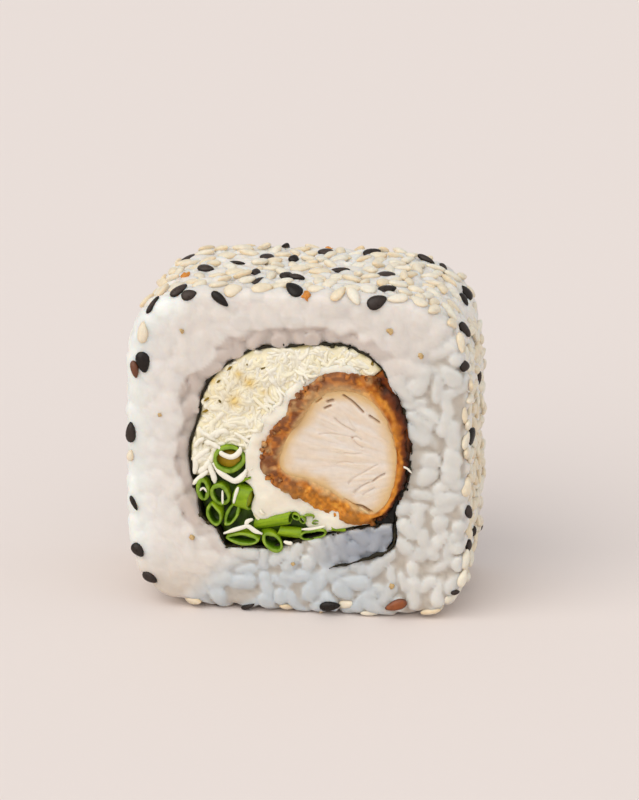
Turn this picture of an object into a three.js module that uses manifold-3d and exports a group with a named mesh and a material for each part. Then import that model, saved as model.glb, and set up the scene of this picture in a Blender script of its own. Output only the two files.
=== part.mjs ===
// One cut piece of an uramaki roll: sesame on rice, a nori spiral, and a filling of breaded chicken,
// cream cheese, grated cheese and chives that runs from one cut face to the other.
// Millimetres, +Z up. The roll's axis lies along Y, its cut faces look along -Y and +Y,
// and the origin is under the middle of the flat spot that it rests on.
import * as THREE from "three";
import { mergeVertices } from "three/addons/utils/BufferGeometryUtils.js";
import Module from "manifold-3d";

const wasm = await Module();
wasm.setup();

// Roll
const WIDTH = 50;
const HEIGHT = 49;
const DEPTH = 26;
const EDGE_RADIUS = 2.5; // between a cut face and the outside
const SQUARENESS = { topRight: 4.4, topLeft: 4.7, bottomLeft: 5, bottomRight: 7.5 };
const REST_HEIGHT = 0.3; // the outside is flat where its outline is lower than this
const GAP = 0.3; // between neighbouring pieces

// Rice: bumps of a grain's size on a solid core
const GRAIN_RELIEF = { outside: 0.7, face: 0.6 };
const GRAIN_UNEVEN = 0.45; // share of the relief that differs from grain to grain
const RICE_AROUND = 88;
const RICE_WALL_RINGS = 10;
const RICE_FACE_RINGS = [0.56, 0.68, 0.79, 0.9, 1];
const RICE_EDGE_RINGS = 3;

// Sesame
const SEED = { length: 2.9, width: 1.8, thickness: 1.1, taper: 0.3, sizeSpread: 0.2, sides: 5, rings: 3 };
const SEED_COUNT = 120;
const SEED_SPACING = 3.4;
const SEED_SINK = 0.1; // of a seed's middle below the crests of the rice
const SEED_MARGIN = 1.1; // bare rim beside a cut face, measured along the rounded edge
const SEED_REACH = 40; // farther from the roll's middle than any of its corners
// Share of the outside that is covered: the least, on an upright left side, and more to the top and right
const SESAME_COVER = { least: 0.08, level: 0.35, upward: 0.52, rightward: 0.49 };

// Nori: its middle line in the cut face as [x, z], one turn round the filling and then a tail in the rice
const NORI_THICKNESS = 0.5;
const NORI_LOOP = [
  [12.2, 14.4], [9.1, 13.7], [4.8, 12.6], [0.4, 11.2], [-3.7, 10.1], [-7.7, 9.9], [-10.2, 10],
  [-13.1, 13.2], [-14.4, 17.6], [-15.4, 21.6], [-15.3, 25.3], [-14, 29.6], [-13.4, 32.9],
  [-11.7, 35.9], [-9, 38.2], [-5.6, 40.1], [-1.9, 40.5], [2.2, 41], [6, 41.1], [9, 40.4],
  [12, 38.4], [14.2, 34.7], [15.7, 31.5], [16.6, 27.7], [16.5, 23.1], [16, 20.2], [15, 17.4],
  [14.4, 14.4],
];
const NORI_TAIL = [[14.4, 11.8], [13, 10.2], [10, 9], [7.3, 8.2], [5, 7.5]];

// Filling, as closed outlines in the cut face that run anticlockwise
const CHICKEN_OUTLINE = [
  [16.4, 25.8], [15.7, 29.9], [14.4, 33.8], [12, 36.4], [8.8, 36.6], [6, 37], [1.5, 34.4],
  [-1.4, 30], [-4, 26.7], [-4.6, 23.1], [-2.8, 20], [1.1, 18.3], [3.9, 16.4], [7.4, 15.3],
  [10.2, 14.7], [13, 15.5], [14.7, 17.6], [16.2, 21.8],
];
const CREAM_OUTLINE = [
  [12, 30], [8.6, 37.9], [5.4, 38.2], [1.6, 36.6], [-1.6, 33.6], [-5, 29.8], [-6.7, 26.2],
  [-8, 22.4], [-8, 18], [-4, 13], [9, 13], [12, 20],
];
const CHIVE_OUTLINE = [
  [-18, 8], [6.4, 8], [6.4, 13.9], [2.6, 15.2], [-0.7, 16.2], [-5.1, 16.2], [-5.2, 18],
  [-6.6, 20.6], [-7.2, 24.2], [-9.2, 25.4], [-11.2, 24], [-11, 21.6], [-12.6, 20.9], [-18, 20.3],
];
const CRUST_CRAGS = 0.45;
const CHICKEN_AROUND = 44;
const CHICKEN_WALL_RINGS = 8;
const CHICKEN_FACE_RINGS = [0.55, 1];
const CHEESE_DEPTH = DEPTH - 1.4;
const CHIVE_DEPTH = DEPTH - 0.4;
const OUTLINE_STEPS = 2; // straight steps from one outline point to the next

// Chives that run through: middle of the section, its half sizes and its turn in degrees
const CHIVE_TUBES = [
  { x: -9.2, z: 23.3, halfWidth: 2, halfHeight: 1.9, turn: 0 },
  { x: -13.2, z: 18.5, halfWidth: 1.1, halfHeight: 1.7, turn: 10 },
  { x: -10.9, z: 18.1, halfWidth: 1.4, halfHeight: 1.8, turn: 15 },
  { x: -7.1, z: 17.6, halfWidth: 1.6, halfHeight: 1.9, turn: -8 },
  { x: -11.6, z: 14.8, halfWidth: 1.2, halfHeight: 1.9, turn: 14 },
  { x: -9.1, z: 15.1, halfWidth: 1.1, halfHeight: 1.9, turn: -28 },
  { x: -7.6, z: 11.6, halfWidth: 2.4, halfHeight: 1.1, turn: -4 },
  { x: -3.3, z: 11.4, halfWidth: 1.8, halfHeight: 1.2, turn: -25 },
  { x: 2.4, z: 13.3, halfWidth: 2, halfHeight: 0.9, turn: 8 },
];
const CHIVE_SIDES = 8;
const STUB_SIDES = 6;
const STUB_END_RINGS = 2;
const CHIVE_WALL = 0.4;
const CHIVE_BORE_DEPTH = 4;
const CHIVE_CORE_SETBACK = 1.4; // of the packed middle behind the cut ends
// Chopped pieces that lie along a cut face
const CHIVE_STUBS = [
  { x: -3.1, z: 14.4, length: 6, radius: 1.1, turn: 14 },
  { x: -0.6, z: 12.7, length: 3.8, radius: 1, turn: 6 },
];

// Shreds of grated cheese that stand out of a cut face
const SHRED = { count: 16, length: 5, width: 0.9, height: 1.2 };
const SHRED_AREA = { x: [-14, 6], z: [24, 39.5] };

const MIDDLE = HEIGHT / 2;
const BEYOND = 2; // by which a cutter passes what it cuts
const SLIVER = 0.03; // edges shorter than this are closed up after a cut

// A repeatable number from 0 to 1 for the k-th thing and one of its qualities.
function chance(k, quality) {
  const value = Math.sin(k * 12.9898 + quality * 78.233) * 43758.5453;
  return value - Math.floor(value);
}

function solidOf(geometry) {
  geometry.deleteAttribute("normal");
  geometry.deleteAttribute("uv");
  const merged = mergeVertices(geometry, 1e-4);
  const vertProperties = new Float32Array(merged.getAttribute("position").array);
  const triVerts = new Uint32Array(merged.index.array);
  return new wasm.Manifold(new wasm.Mesh({ numProp: 3, vertProperties, triVerts }));
}

function geometryOf(solid) {
  const mesh = solid.getMesh();
  const geometry = new THREE.BufferGeometry();
  geometry.setAttribute("position", new THREE.BufferAttribute(mesh.vertProperties, 3));
  geometry.setIndex(new THREE.BufferAttribute(mesh.triVerts, 1));
  geometry.computeVertexNormals();
  return geometry;
}

// The largest body of a solid, without the scraps and slivers that cutting leaves.
function largestBody(solid) {
  const bodies = solid.simplify(SLIVER).decompose();
  return bodies.reduce((a, b) => (b.volume() > a.volume() ? b : a));
}

// A closed outline extruded along Y, centred on the roll's depth.
function prism(outline, depth) {
  const shape = new THREE.Shape(outline.map(([x, z]) => new THREE.Vector2(x, z)));
  const geometry = new THREE.ExtrudeGeometry(shape, { depth, bevelEnabled: false });
  geometry.rotateX(Math.PI / 2);
  geometry.translate(0, depth / 2, 0);
  return solidOf(geometry);
}

// A smooth curve through points of the cut face, as short straight steps.
function smooth(points, closed) {
  const knots = points.map(([x, z]) => new THREE.Vector3(x, 0, z));
  const curve = new THREE.CatmullRomCurve3(knots, closed, "centripetal");
  const spans = closed ? points.length : points.length - 1;
  const sampled = curve.getPoints(spans * OUTLINE_STEPS).map((p) => [p.x, p.z]);
  return closed ? sampled.slice(0, -1) : sampled;
}

// The points of a line moved sideways, to its right as it runs.
function beside(line, distance, closed) {
  const last = line.length - 1;
  return line.map(([x, z], i) => {
    const before = line[i > 0 ? i - 1 : closed ? last : 0];
    const after = line[i < last ? i + 1 : closed ? 0 : last];
    const dx = after[0] - before[0];
    const dz = after[1] - before[1];
    const length = Math.hypot(dx, dz);
    return [x + (dz / length) * distance, z - (dx / length) * distance];
  });
}

// A closed solid through rings of equal, even count that run anticlockwise as seen from the front.
// Its quads are split into diamonds, so that every second point can be a crest.
function ringSolid(frontTip, rings, backTip) {
  const around = rings[0].length;
  const points = [frontTip, ...rings.flat(), backTip];
  const at = (ring, i) => 1 + ring * around + (i % around);
  const end = points.length - 1;
  const lastRing = rings.length - 1;
  const index = [];
  for (let i = 0; i < around; i++) {
    index.push(0, at(0, i), at(0, i + 1));
    for (let ring = 0; ring < lastRing; ring++) {
      const corners = [at(ring, i), at(ring + 1, i), at(ring + 1, i + 1), at(ring, i + 1)];
      const [a, b, c, d] = (ring + i) % 2 ? [...corners.slice(1), corners[0]] : corners;
      index.push(a, b, c, a, c, d);
    }
    index.push(end, at(lastRing, i + 1), at(lastRing, i));
  }
  const geometry = new THREE.BufferGeometry().setFromPoints(points);
  geometry.setIndex(index);
  return solidOf(geometry);
}

// The roll's outline at a polar angle about its middle: the point and its outward normal in the cut face.
function outlineAt(angle) {
  const c = Math.cos(angle);
  const s = Math.sin(angle);
  const upper = c > 0 ? SQUARENESS.topRight : SQUARENESS.topLeft;
  const lower = c > 0 ? SQUARENESS.bottomRight : SQUARENESS.bottomLeft;
  const power = s > 0 ? upper : lower;
  const halfWidth = WIDTH / 2;
  const halfHeight = HEIGHT / 2;
  const sum = (Math.abs(c) / halfWidth) ** power + (Math.abs(s) / halfHeight) ** power;
  const radius = sum ** (-1 / power);
  const x = radius * c;
  const z = radius * s;
  const slopeX = Math.sign(x) * Math.abs(x / halfWidth) ** (power - 1) / halfWidth;
  const slopeZ = Math.sign(z) * Math.abs(z / halfHeight) ** (power - 1) / halfHeight;
  const slope = Math.hypot(slopeX, slopeZ);
  return { x, z: MIDDLE + z, normalX: slopeX / slope, normalZ: slopeZ / slope, radius };
}

// A point of the outside and its normal, by angle and by how far over the rounded edge it is: a lean
// of 0 faces along the axis at the rim of a cut face and 90 degrees faces out.
function outsideAt(angle, lean, wallY, side) {
  const rim = outlineAt(angle);
  const out = Math.sin(lean) * EDGE_RADIUS - EDGE_RADIUS;
  const normal = new THREE.Vector3(
    rim.normalX * Math.sin(lean),
    side * Math.cos(lean),
    rim.normalZ * Math.sin(lean),
  );
  const y = wallY + side * Math.cos(lean) * EDGE_RADIUS;
  return { point: new THREE.Vector3(rim.x + rim.normalX * out, y, rim.z + rim.normalZ * out), normal };
}

// Rice core with bumps that are about a grain long and wide, each crest between dips.
function riceCore() {
  const angles = Array.from({ length: RICE_AROUND }, (_, i) => (i / RICE_AROUND) * 2 * Math.PI);
  const wallEnd = DEPTH / 2 - EDGE_RADIUS;
  const rings = [];
  const addRing = (place, relief) => {
    const row = rings.length;
    const ring = angles.map((angle, i) => {
      const { point, normal } = place(angle);
      const crest = (i + row) % 2 ? 0 : 1 - GRAIN_UNEVEN;
      const dip = relief * (crest + GRAIN_UNEVEN * chance(i + row * RICE_AROUND, 1));
      const resting = point.z < REST_HEIGHT && normal.z < 0;
      point.addScaledVector(normal, resting ? 0 : -dip);
      point.z = resting ? 0 : Math.max(point.z, 0);
      return point;
    });
    rings.push(ring);
  };
  const addFaceRing = (share, side) => {
    addRing((angle) => {
      const { point, normal } = outsideAt(angle, 0, side * wallEnd, side);
      point.x *= share;
      point.z = MIDDLE + (point.z - MIDDLE) * share;
      return { point, normal };
    }, GRAIN_RELIEF.face);
  };
  const addEdgeRing = (step, side) => {
    const lean = ((step / RICE_EDGE_RINGS) * Math.PI) / 2;
    addRing((angle) => outsideAt(angle, lean, side * wallEnd, side), GRAIN_RELIEF.outside);
  };
  RICE_FACE_RINGS.forEach((share) => addFaceRing(share, -1));
  for (let step = 1; step <= RICE_EDGE_RINGS; step++) addEdgeRing(step, -1);
  for (let step = 1; step < RICE_WALL_RINGS; step++) {
    const y = wallEnd * ((2 * step) / RICE_WALL_RINGS - 1);
    addRing((angle) => outsideAt(angle, Math.PI / 2, y, -1), GRAIN_RELIEF.outside);
  }
  for (let step = RICE_EDGE_RINGS; step >= 1; step--) addEdgeRing(step, 1);
  RICE_FACE_RINGS.toReversed().forEach((share) => addFaceRing(share, 1));
  const tip = (side) => new THREE.Vector3(0, (side * DEPTH) / 2, MIDDLE);
  return ringSolid(tip(-1), rings, tip(1));
}

// How thickly sesame lies on the outside: most on the top and the right side.
function sesameCover({ normalX, normalZ }) {
  const { least, level, upward, rightward } = SESAME_COVER;
  return Math.min(1, Math.max(least, level + upward * normalZ + rightward * normalX));
}

// The k-th try at a seed's place on the outside, or nothing where the cover is too thin for it.
function seedPlace(k) {
  const angle = chance(k, 7) * 2 * Math.PI;
  const rim = outlineAt(angle);
  const facing = (rim.normalX * rim.x + rim.normalZ * (rim.z - MIDDLE)) / rim.radius;
  const stretch = rim.radius / facing / SEED_REACH; // the corners get fewer tries for each millimetre
  if (chance(k, 2) > sesameCover(rim) * stretch) return null;
  const arc = (Math.PI / 2) * EDGE_RADIUS;
  const wall = DEPTH - 2 * EDGE_RADIUS;
  const travel = SEED_MARGIN + chance(k, 8) * (wall + 2 * arc - 2 * SEED_MARGIN);
  const side = travel < arc + wall / 2 ? -1 : 1;
  const fromRim = side < 0 ? travel : wall + 2 * arc - travel;
  const lean = Math.min(fromRim / EDGE_RADIUS, Math.PI / 2);
  const wallY = side * (wall / 2 - Math.max(0, fromRim - arc));
  return outsideAt(angle, lean, wallY, side);
}

// One sesame seed: a flat drop that lies on the surface, turned at random.
function seedSolid(k, { point, normal }) {
  const size = 1 + SEED.sizeSpread * (chance(k, 3) - 0.5);
  const geometry = new THREE.SphereGeometry(0.5, SEED.sides, SEED.rings);
  geometry.rotateZ(Math.PI / 2);
  const position = geometry.getAttribute("position");
  for (let i = 0; i < position.count; i++) {
    const narrow = 1 - SEED.taper * 2 * position.getX(i);
    position.setY(i, position.getY(i) * narrow);
  }
  geometry.scale(SEED.length * size, SEED.width * size, SEED.thickness * size);
  geometry.rotateZ(chance(k, 4) * 2 * Math.PI);
  const turn = new THREE.Quaternion().setFromUnitVectors(new THREE.Vector3(0, 0, 1), normal);
  geometry.applyQuaternion(turn);
  const middle = point.clone().addScaledVector(normal, -SEED_SINK);
  geometry.translate(middle.x, middle.y, middle.z);
  return solidOf(geometry);
}

// Seeds at random places that keep their distance from each other.
function seedSolids() {
  const points = [];
  const solids = [];
  for (let k = 0; solids.length < SEED_COUNT; k++) {
    const place = seedPlace(k);
    if (!place || points.some((p) => p.distanceTo(place.point) < SEED_SPACING)) continue;
    points.push(place.point);
    solids.push(seedSolid(k, place));
  }
  return solids;
}

// Nori
const noriLine = smooth([...NORI_LOOP, ...NORI_TAIL], false);
const loopLine = noriLine.slice(0, (NORI_LOOP.length - 1) * OUTLINE_STEPS + 1).toReversed();

function noriStrip(halfThickness, depth) {
  const outer = beside(noriLine, -halfThickness, false);
  const inner = beside(noriLine, halfThickness, false);
  return prism([...outer, ...inner.toReversed()], depth);
}

// Rice with its sesame, hollowed for the filling and slit for the nori
function riceSolid() {
  const floor = solidOf(new THREE.BoxGeometry(2 * WIDTH, 2 * DEPTH, BEYOND).translate(0, 0, -BEYOND / 2));
  const coated = wasm.Manifold.union([riceCore(), ...seedSolids()]).subtract(floor);
  const hollow = prism(loopLine, DEPTH + BEYOND);
  const slit = noriStrip(NORI_THICKNESS / 2 + GAP, DEPTH + BEYOND);
  return largestBody(coated.subtract(hollow).subtract(slit));
}

// The room inside the nori, clear of it.
function fillingRoom(depth) {
  return prism(beside(loopLine, -NORI_THICKNESS / 2 - GAP, true), depth);
}

// Breaded chicken with crags all round its crust.
function chickenSolid() {
  const outline = new THREE.CatmullRomCurve3(
    CHICKEN_OUTLINE.map(([x, z]) => new THREE.Vector3(x, 0, z)),
    true,
    "centripetal",
  );
  const rim = outline.getSpacedPoints(CHICKEN_AROUND).slice(0, -1);
  const middle = rim.reduce((sum, p) => sum.add(p), new THREE.Vector3()).divideScalar(rim.length);
  const rings = [];
  const addRing = (share, y) => {
    const row = rings.length;
    const ring = rim.map((p, i) => {
      const out = p.clone().sub(middle);
      const crag = CRUST_CRAGS * (chance(i + row * CHICKEN_AROUND, 5) - 1);
      out.setLength(out.length() * share + crag);
      return new THREE.Vector3(middle.x + out.x, y, middle.z + out.z);
    });
    rings.push(ring);
  };
  CHICKEN_FACE_RINGS.forEach((share) => addRing(share, -DEPTH / 2));
  for (let step = 1; step < CHICKEN_WALL_RINGS; step++) {
    addRing(1, DEPTH * (step / CHICKEN_WALL_RINGS - 0.5));
  }
  CHICKEN_FACE_RINGS.toReversed().forEach((share) => addRing(share, DEPTH / 2));
  const tip = (side) => new THREE.Vector3(middle.x, (side * DEPTH) / 2, middle.z);
  return largestBody(ringSolid(tip(-1), rings, tip(1)).intersect(fillingRoom(DEPTH + BEYOND)));
}

// What keeps the neighbours of an outlined piece clear of it.
function clearance(outline) {
  return prism(beside(smooth(outline, true), GAP, true), DEPTH + BEYOND);
}

function creamSolid() {
  const cream = prism(smooth(CREAM_OUTLINE, true), CHEESE_DEPTH);
  const inRoom = cream.intersect(fillingRoom(DEPTH));
  return largestBody(inRoom.subtract(clearance(CHICKEN_OUTLINE)).subtract(clearance(CHIVE_OUTLINE)));
}

// Strips lying this way and that on both faces of the grated cheese.
function shredSolids() {
  const solids = [];
  const [left, right] = SHRED_AREA.x;
  const [low, high] = SHRED_AREA.z;
  for (let k = 0; k < SHRED.count * 2; k++) {
    const side = k % 2 ? 1 : -1;
    const geometry = new THREE.BoxGeometry(SHRED.length, SHRED.height, SHRED.width);
    geometry.rotateY(chance(k, 6) * Math.PI);
    const x = left + chance(k, 9) * (right - left);
    const z = low + chance(k, 10) * (high - low);
    geometry.translate(x, (side * CHEESE_DEPTH) / 2, z);
    solids.push(solidOf(geometry));
  }
  return solids;
}

function gratedSolid() {
  const room = fillingRoom(DEPTH);
  const packed = fillingRoom(CHEESE_DEPTH);
  const heap = wasm.Manifold.union([packed, ...shredSolids()]).intersect(room);
  const neighbours = [CREAM_OUTLINE, CHICKEN_OUTLINE, CHIVE_OUTLINE].map(clearance);
  return largestBody(heap.subtract(wasm.Manifold.union(neighbours)));
}

// A length of chive along the roll's axis, or with an inset its bore.
function chiveTube({ x, z, halfWidth, halfHeight, turn }, depth, inset) {
  const geometry = new THREE.CylinderGeometry(1, 1, depth, CHIVE_SIDES);
  geometry.scale(halfWidth - inset, 1, halfHeight - inset);
  geometry.rotateY(THREE.MathUtils.degToRad(turn));
  geometry.translate(x, 0, z);
  return geometry;
}

// A short round-ended length of chive that lies in a cut face.
function chiveStub({ x, z, length, radius, turn }, side) {
  const geometry = new THREE.CapsuleGeometry(radius, length - 2 * radius, STUB_END_RINGS, STUB_SIDES);
  geometry.rotateZ(Math.PI / 2);
  geometry.rotateY(THREE.MathUtils.degToRad(-turn));
  geometry.translate(x, side * (CHIVE_DEPTH / 2 - radius), z);
  return solidOf(geometry);
}

// Chopped chives: a packed middle with the pieces that show at the cut faces fused on.
function chiveSolid() {
  const region = smooth(CHIVE_OUTLINE, true);
  const core = prism(region, CHIVE_DEPTH - 2 * CHIVE_CORE_SETBACK);
  const tubes = CHIVE_TUBES.map((tube) => solidOf(chiveTube(tube, CHIVE_DEPTH, 0)));
  const stubs = CHIVE_STUBS.flatMap((stub) => [chiveStub(stub, -1), chiveStub(stub, 1)]);
  const bores = CHIVE_TUBES.flatMap((tube) =>
    [-1, 1].map((side) => {
      const bore = chiveTube(tube, 2 * CHIVE_BORE_DEPTH, CHIVE_WALL);
      return solidOf(bore.translate(0, (side * CHIVE_DEPTH) / 2, 0));
    }),
  );
  const bundle = wasm.Manifold.union([core, ...tubes]).subtract(wasm.Manifold.union(bores));
  const packed = wasm.Manifold.union([bundle, ...stubs]);
  const clear = prism(region, DEPTH).intersect(fillingRoom(CHIVE_DEPTH));
  return largestBody(packed.intersect(clear).subtract(clearance(CHICKEN_OUTLINE)));
}

const roll = new THREE.Group();
roll.name = "uramaki_roll";

function addPiece(name, solid, color, roughness) {
  const material = new THREE.MeshStandardMaterial({ color, roughness, metalness: 0, flatShading: true });
  const mesh = new THREE.Mesh(geometryOf(solid), material);
  mesh.name = name;
  roll.add(mesh);
}

addPiece("rice", riceSolid(), 0xe6e0d8, 0.45);
addPiece("nori", noriStrip(NORI_THICKNESS / 2, DEPTH), 0x1c2016, 0.6);
addPiece("chicken", chickenSolid(), 0xb9763c, 0.7);
addPiece("cream_cheese", creamSolid(), 0xf2ead8, 0.5);
addPiece("grated_cheese", gratedSolid(), 0xefe8c8, 0.6);
addPiece("chives", chiveSolid(), 0x5f9a2a, 0.45);

export default roll;
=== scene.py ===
import itertools
import math

import bpy
import numpy as np
import openvdb
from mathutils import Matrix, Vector
from mathutils.bvhtree import BVHTree


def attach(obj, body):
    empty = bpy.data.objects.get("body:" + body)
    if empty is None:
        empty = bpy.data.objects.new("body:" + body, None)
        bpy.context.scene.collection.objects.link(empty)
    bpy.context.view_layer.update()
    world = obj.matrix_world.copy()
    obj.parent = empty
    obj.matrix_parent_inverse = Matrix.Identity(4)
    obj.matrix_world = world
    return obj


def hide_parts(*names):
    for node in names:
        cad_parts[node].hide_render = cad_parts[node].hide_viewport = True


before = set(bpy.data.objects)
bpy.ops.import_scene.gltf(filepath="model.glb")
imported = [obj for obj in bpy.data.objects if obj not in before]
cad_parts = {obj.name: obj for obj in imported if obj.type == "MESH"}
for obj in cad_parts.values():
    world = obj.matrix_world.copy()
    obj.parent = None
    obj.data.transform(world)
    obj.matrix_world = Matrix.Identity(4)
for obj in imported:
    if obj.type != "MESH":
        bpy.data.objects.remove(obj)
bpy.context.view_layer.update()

MM = 0.001
LINE_STEPS = 4  # straight steps between two points of a curve
FINE_STEPS = 12

# Roll
WIDTH = 50
HEIGHT = 49
DEPTH = 26
EDGE_RADIUS = 2.5
MIDDLE = HEIGHT / 2
FACE = DEPTH / 2
SQUARENESS = {"top_right": 4.4, "top_left": 4.7, "bottom_left": 5, "bottom_right": 7.5}
FRONT, BACK = -1, 1

# Photograph and camera
PHOTO_WIDTH = 639
PHOTO_HEIGHT = 800
AZIMUTH = 8
ELEVATION = 18
CAMERA_DISTANCE = 520
PIXELS_PER_MM = 6.82
TARGET = (0, 0, MIDDLE)
TARGET_PIXEL = (307, 428)
SENSOR = 36
CLIP = (0.01, 20)  # metres

# Studio: the sky, and suns by direction, strength, spread in degrees and colour
SKY = {"colour": (0.97, 0.98, 1, 1), "strength": 0.62}
SUNS = {
    "key": ((-0.55, -0.75, 0.8), 1.5, 60, (1, 0.965, 0.92)),
    "fill": ((0.9, -0.6, 0.7), 0.45, 90, (0.92, 0.96, 1)),
}
FLOOR = {"reach": 2.0, "roughness": 0.9, "gloss": 0.1}  # reach in metres

# Rice, by where it is: how deep the packed core lies, how far grains run into it, how deep the creases
# between grains are, and how far a grain stands out of the surface before it is cut off there
RICE_VOXEL = 0.4
RICE_KINDS = {
    "wall": {"inset": 0.5, "blend": 0.25, "crease": 0.26, "reach": (-0.3, 0.1)},
    "ring": {"inset": 0.6, "blend": 0.3, "crease": 0.14, "reach": (-0.35, 0.15)},
    "loose": {"inset": 0.6, "blend": 0.2, "crease": 0.19, "reach": (-0.26, 0.15)},
    "smear": {"inset": 0.25, "blend": 0.6, "crease": 0.07, "reach": (-0.1, 0.35)},
}
GRAIN = {"seed": 7, "tries": 60000, "spacing": 2, "shallow": 0.6, "deep": 2.2, "clear": 0.7}
POCKET = {"size": 2.6, "from": 0.45}  # no grain lies where noise of this size is above this
GRAIN_RADIUS = (1.25, 1.55)
GRAIN_HALF_LENGTH = (0.9, 1.9)
CREASE_WIDTH = 0.6
GRAIN_UPRIGHT = 0.2  # share of a grain's slant out of the surface that is kept
RING = {"start": 1.9, "end": 2.5, "sink": 0.32, "scallop": 1.1, "lump": 3.2, "nick": 0.5, "small": 1.6}
RING_MIDDLE = (0.5, 25.5)
RING_OPEN = (0.75, -0.66)  # the direction from its middle in which the ring is open
RING_ENDS = (0.3, -0.3)  # cosines of the angle from there at which it begins and is whole
FACE_WAVES = {"size": 7, "height": 0.12}
LOOSE_FROM = (2, 9)
LOOSE_SLANT = 0.9
RICE_CLEAR = {"loop": 0.15, "tail": 0.3}  # how far rice keeps from the middle of the nori inside the roll
# Where its colours fade in, from none to all: along x, along z, or by distance
# The left and edge fades place painted light; the foot and low fades place painted shade towards the bottom
RICE_FADE = {
    "left": (-14, -22), "edge": (-5, -1.5), "edge_left": (-13, -19), "edge_up": (5, 12), "foot": (10, 3),
    "low": (11, 6), "low_left": (17, 9), "pocket": (-0.5, 0.7), "pocket_right": (-1, 9),
}
# Grains at a cut face that lean over the edge of the nori: how far, where, and in lumps of which size
RICE_LEAN = {
    "most": 0.4, "depth": (FACE - 2, FACE - 1.2), "above": (12, 16), "lump": 2.2, "lumps": (-0.8, 0.2),
}
LOOP_END = {"right": (11, 12), "below": (16, 15), "rough": 0.7, "lump": 1.3}  # where the loop of nori closes
TAIL_CLOSED = {"depth": (FACE - 2, FACE - 1.4), "left": (13.6, 12.6)}  # where grains hide the tail's slit
RICE_FACE = (FACE - 3, FACE - 1.2)  # where the wall's rice becomes that of a cut face
SEAMS = {"face": 0.6, "foot": 0.3, "grain": 0.3}  # widths of the rounded seams of its outline
RICE_SHADES = {"ring": 0.85, "gap": 0.75, "gap_less_on_wall": 0.45, "blue": 0.95}
# How deep a gap between grains begins to darken and is dark, and how much less deep among loose grains;
# the darkening is painted shade
GAP_SHADE_DEPTH = {"begin": 0.4, "begin_less": 0.05, "end": 1, "end_less": 0.35}
GRAIN_SHADE = (0.93, 0.1)  # brightness of the darkest grain, and what the palest has more
# The rice between the loop of nori and its tail, as a closed outline in the cut face
TAIL_POCKET = [
    (1.5, 10.2), (5, 12.4), (10, 13.6), (14.6, 14.2), (14.4, 11.8), (13, 10.2), (10, 9), (7.3, 8.2),
    (4.4, 7.6),
]

# Sesame
SEED = {"length": 3, "width": 1.85, "thickness": 1, "taper": 0.3, "spread": 0.25, "slim": 0.3}
SEED_LIFT = {"white": (-0.12, 0.2), "black": (0.02, 0.16), "toasted": (0.1, 0.2)}  # by thickness
SEED_SIDES = 12
SEED_RINGS = 8
SEED_MARGIN = 1.1
SEED_REACH = 40
SEED_COVER = {"least": 0.08, "level": 0.35, "upward": 0.52, "rightward": 0.49}
SOLID_SEEDS = {"count": 120, "spacing": 3.4}
# Seeds between those: how far apart, and how far from the ones that the photograph shows
MORE_SEEDS = {
    "tries": 12000, "count": 490, "spacing": 1.82, "wider_on_left": 0.5, "from_seen": 2.2,
    "clear_on_right": 0.9, "left": (8, -12), "right": (0.5, 0.9),
}
BARE_EDGE = {"left": -0.5, "front": -6.5}  # normal and place of the edge that the photograph shows bare
SEED_FORWARD = {"most": 0.72, "less_on_right": 0.3}  # how far to a cut face a seed may look
BLACK_UNSEEN = -0.1  # black seeds are added where they look away from the camera by this
SEED_TILT = 0.6
SEED_FACING = 0.45  # how far a seed that the photograph shows is tipped to the camera
SEED_LEAST_FACING = 0.3
SEED_SEARCH = 3  # how far over and under a place the rice is looked for
SEED_RIM = (0.06, 0.34)  # heights between which the colour of a seed's rim ends
# grey: painted sheen on black seeds; gold: white seeds' rim, partly painted shade, weaker facing right
SEED_SHADES = {"grey": (0.05, 0.45), "brown": (0.8, 0.7), "gold": (0.22, 0.33), "less_on_right": 0.6}
BLACK_SHARE = 0.2
TOASTED_SHARE = 0.012
# Seeds that the photograph shows: pixel, turn of the tip in the picture in degrees, length and width
BLACK_SEEN = [
    (286, 244, 0, 2.7, 1.3), (188, 260, 205, 3.2, 1.6), (206, 269, -10, 2.7, 1.5), (237, 264, -5, 2.7, 0.6),
    (267, 258, 170, 2.2, 1.7), (294, 259, 60, 1.6, 1.6), (256, 273, 80, 1.7, 1.5), (257, 282, 30, 2.7, 1),
    (286, 277, 170, 2, 1.8), (297, 278, -10, 2.4, 1), (326, 253, 175, 2.5, 1.7), (372, 253, 10, 2.8, 1.6),
    (426, 260, -30, 3, 1), (443, 268, -55, 1.8, 1.1), (340, 271, 5, 3, 0.9), (386, 276, 10, 2.9, 1.9),
    (387, 290, 10, 2.9, 1.6), (377, 302, 25, 3, 2), (294, 290, 140, 3, 2), (179, 291, 35, 3, 1.4),
    (189, 295, 15, 2.3, 1.6), (220, 299, -42, 3.1, 1.3), (153, 305, 55, 3.1, 0.8), (466, 293, 130, 2.6, 1.8),
    (463, 300, -60, 2.2, 1.4), (464, 330, -50, 2.8, 1.7), (464, 366, 0, 1.8, 1.7), (478, 378, 80, 2.3, 0.8),
    (470, 436, 65, 3.1, 2.1), (468, 512, -70, 2.2, 1.5), (473, 531, 80, 1.6, 1), (468, 545, 80, 1.8, 1.2),
    (455, 592, 10, 1.4, 0.8), (330, 606, 5, 3.1, 1.5), (248, 607, 20, 2.4, 0.8), (150, 577, -35, 2.5, 1.6),
    (138, 550, -50, 2.4, 1.7), (134, 503, -65, 2.4, 0.7), (131, 432, 88, 3.1, 1.6), (143, 362, -80, 3.2, 2),
    (140, 332, 82, 2.2, 0.5),
]
TOASTED_SEEN = [(396, 605, 198, 3.4, 1.6), (135, 369, -80, 2.6, 1.2)]
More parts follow.
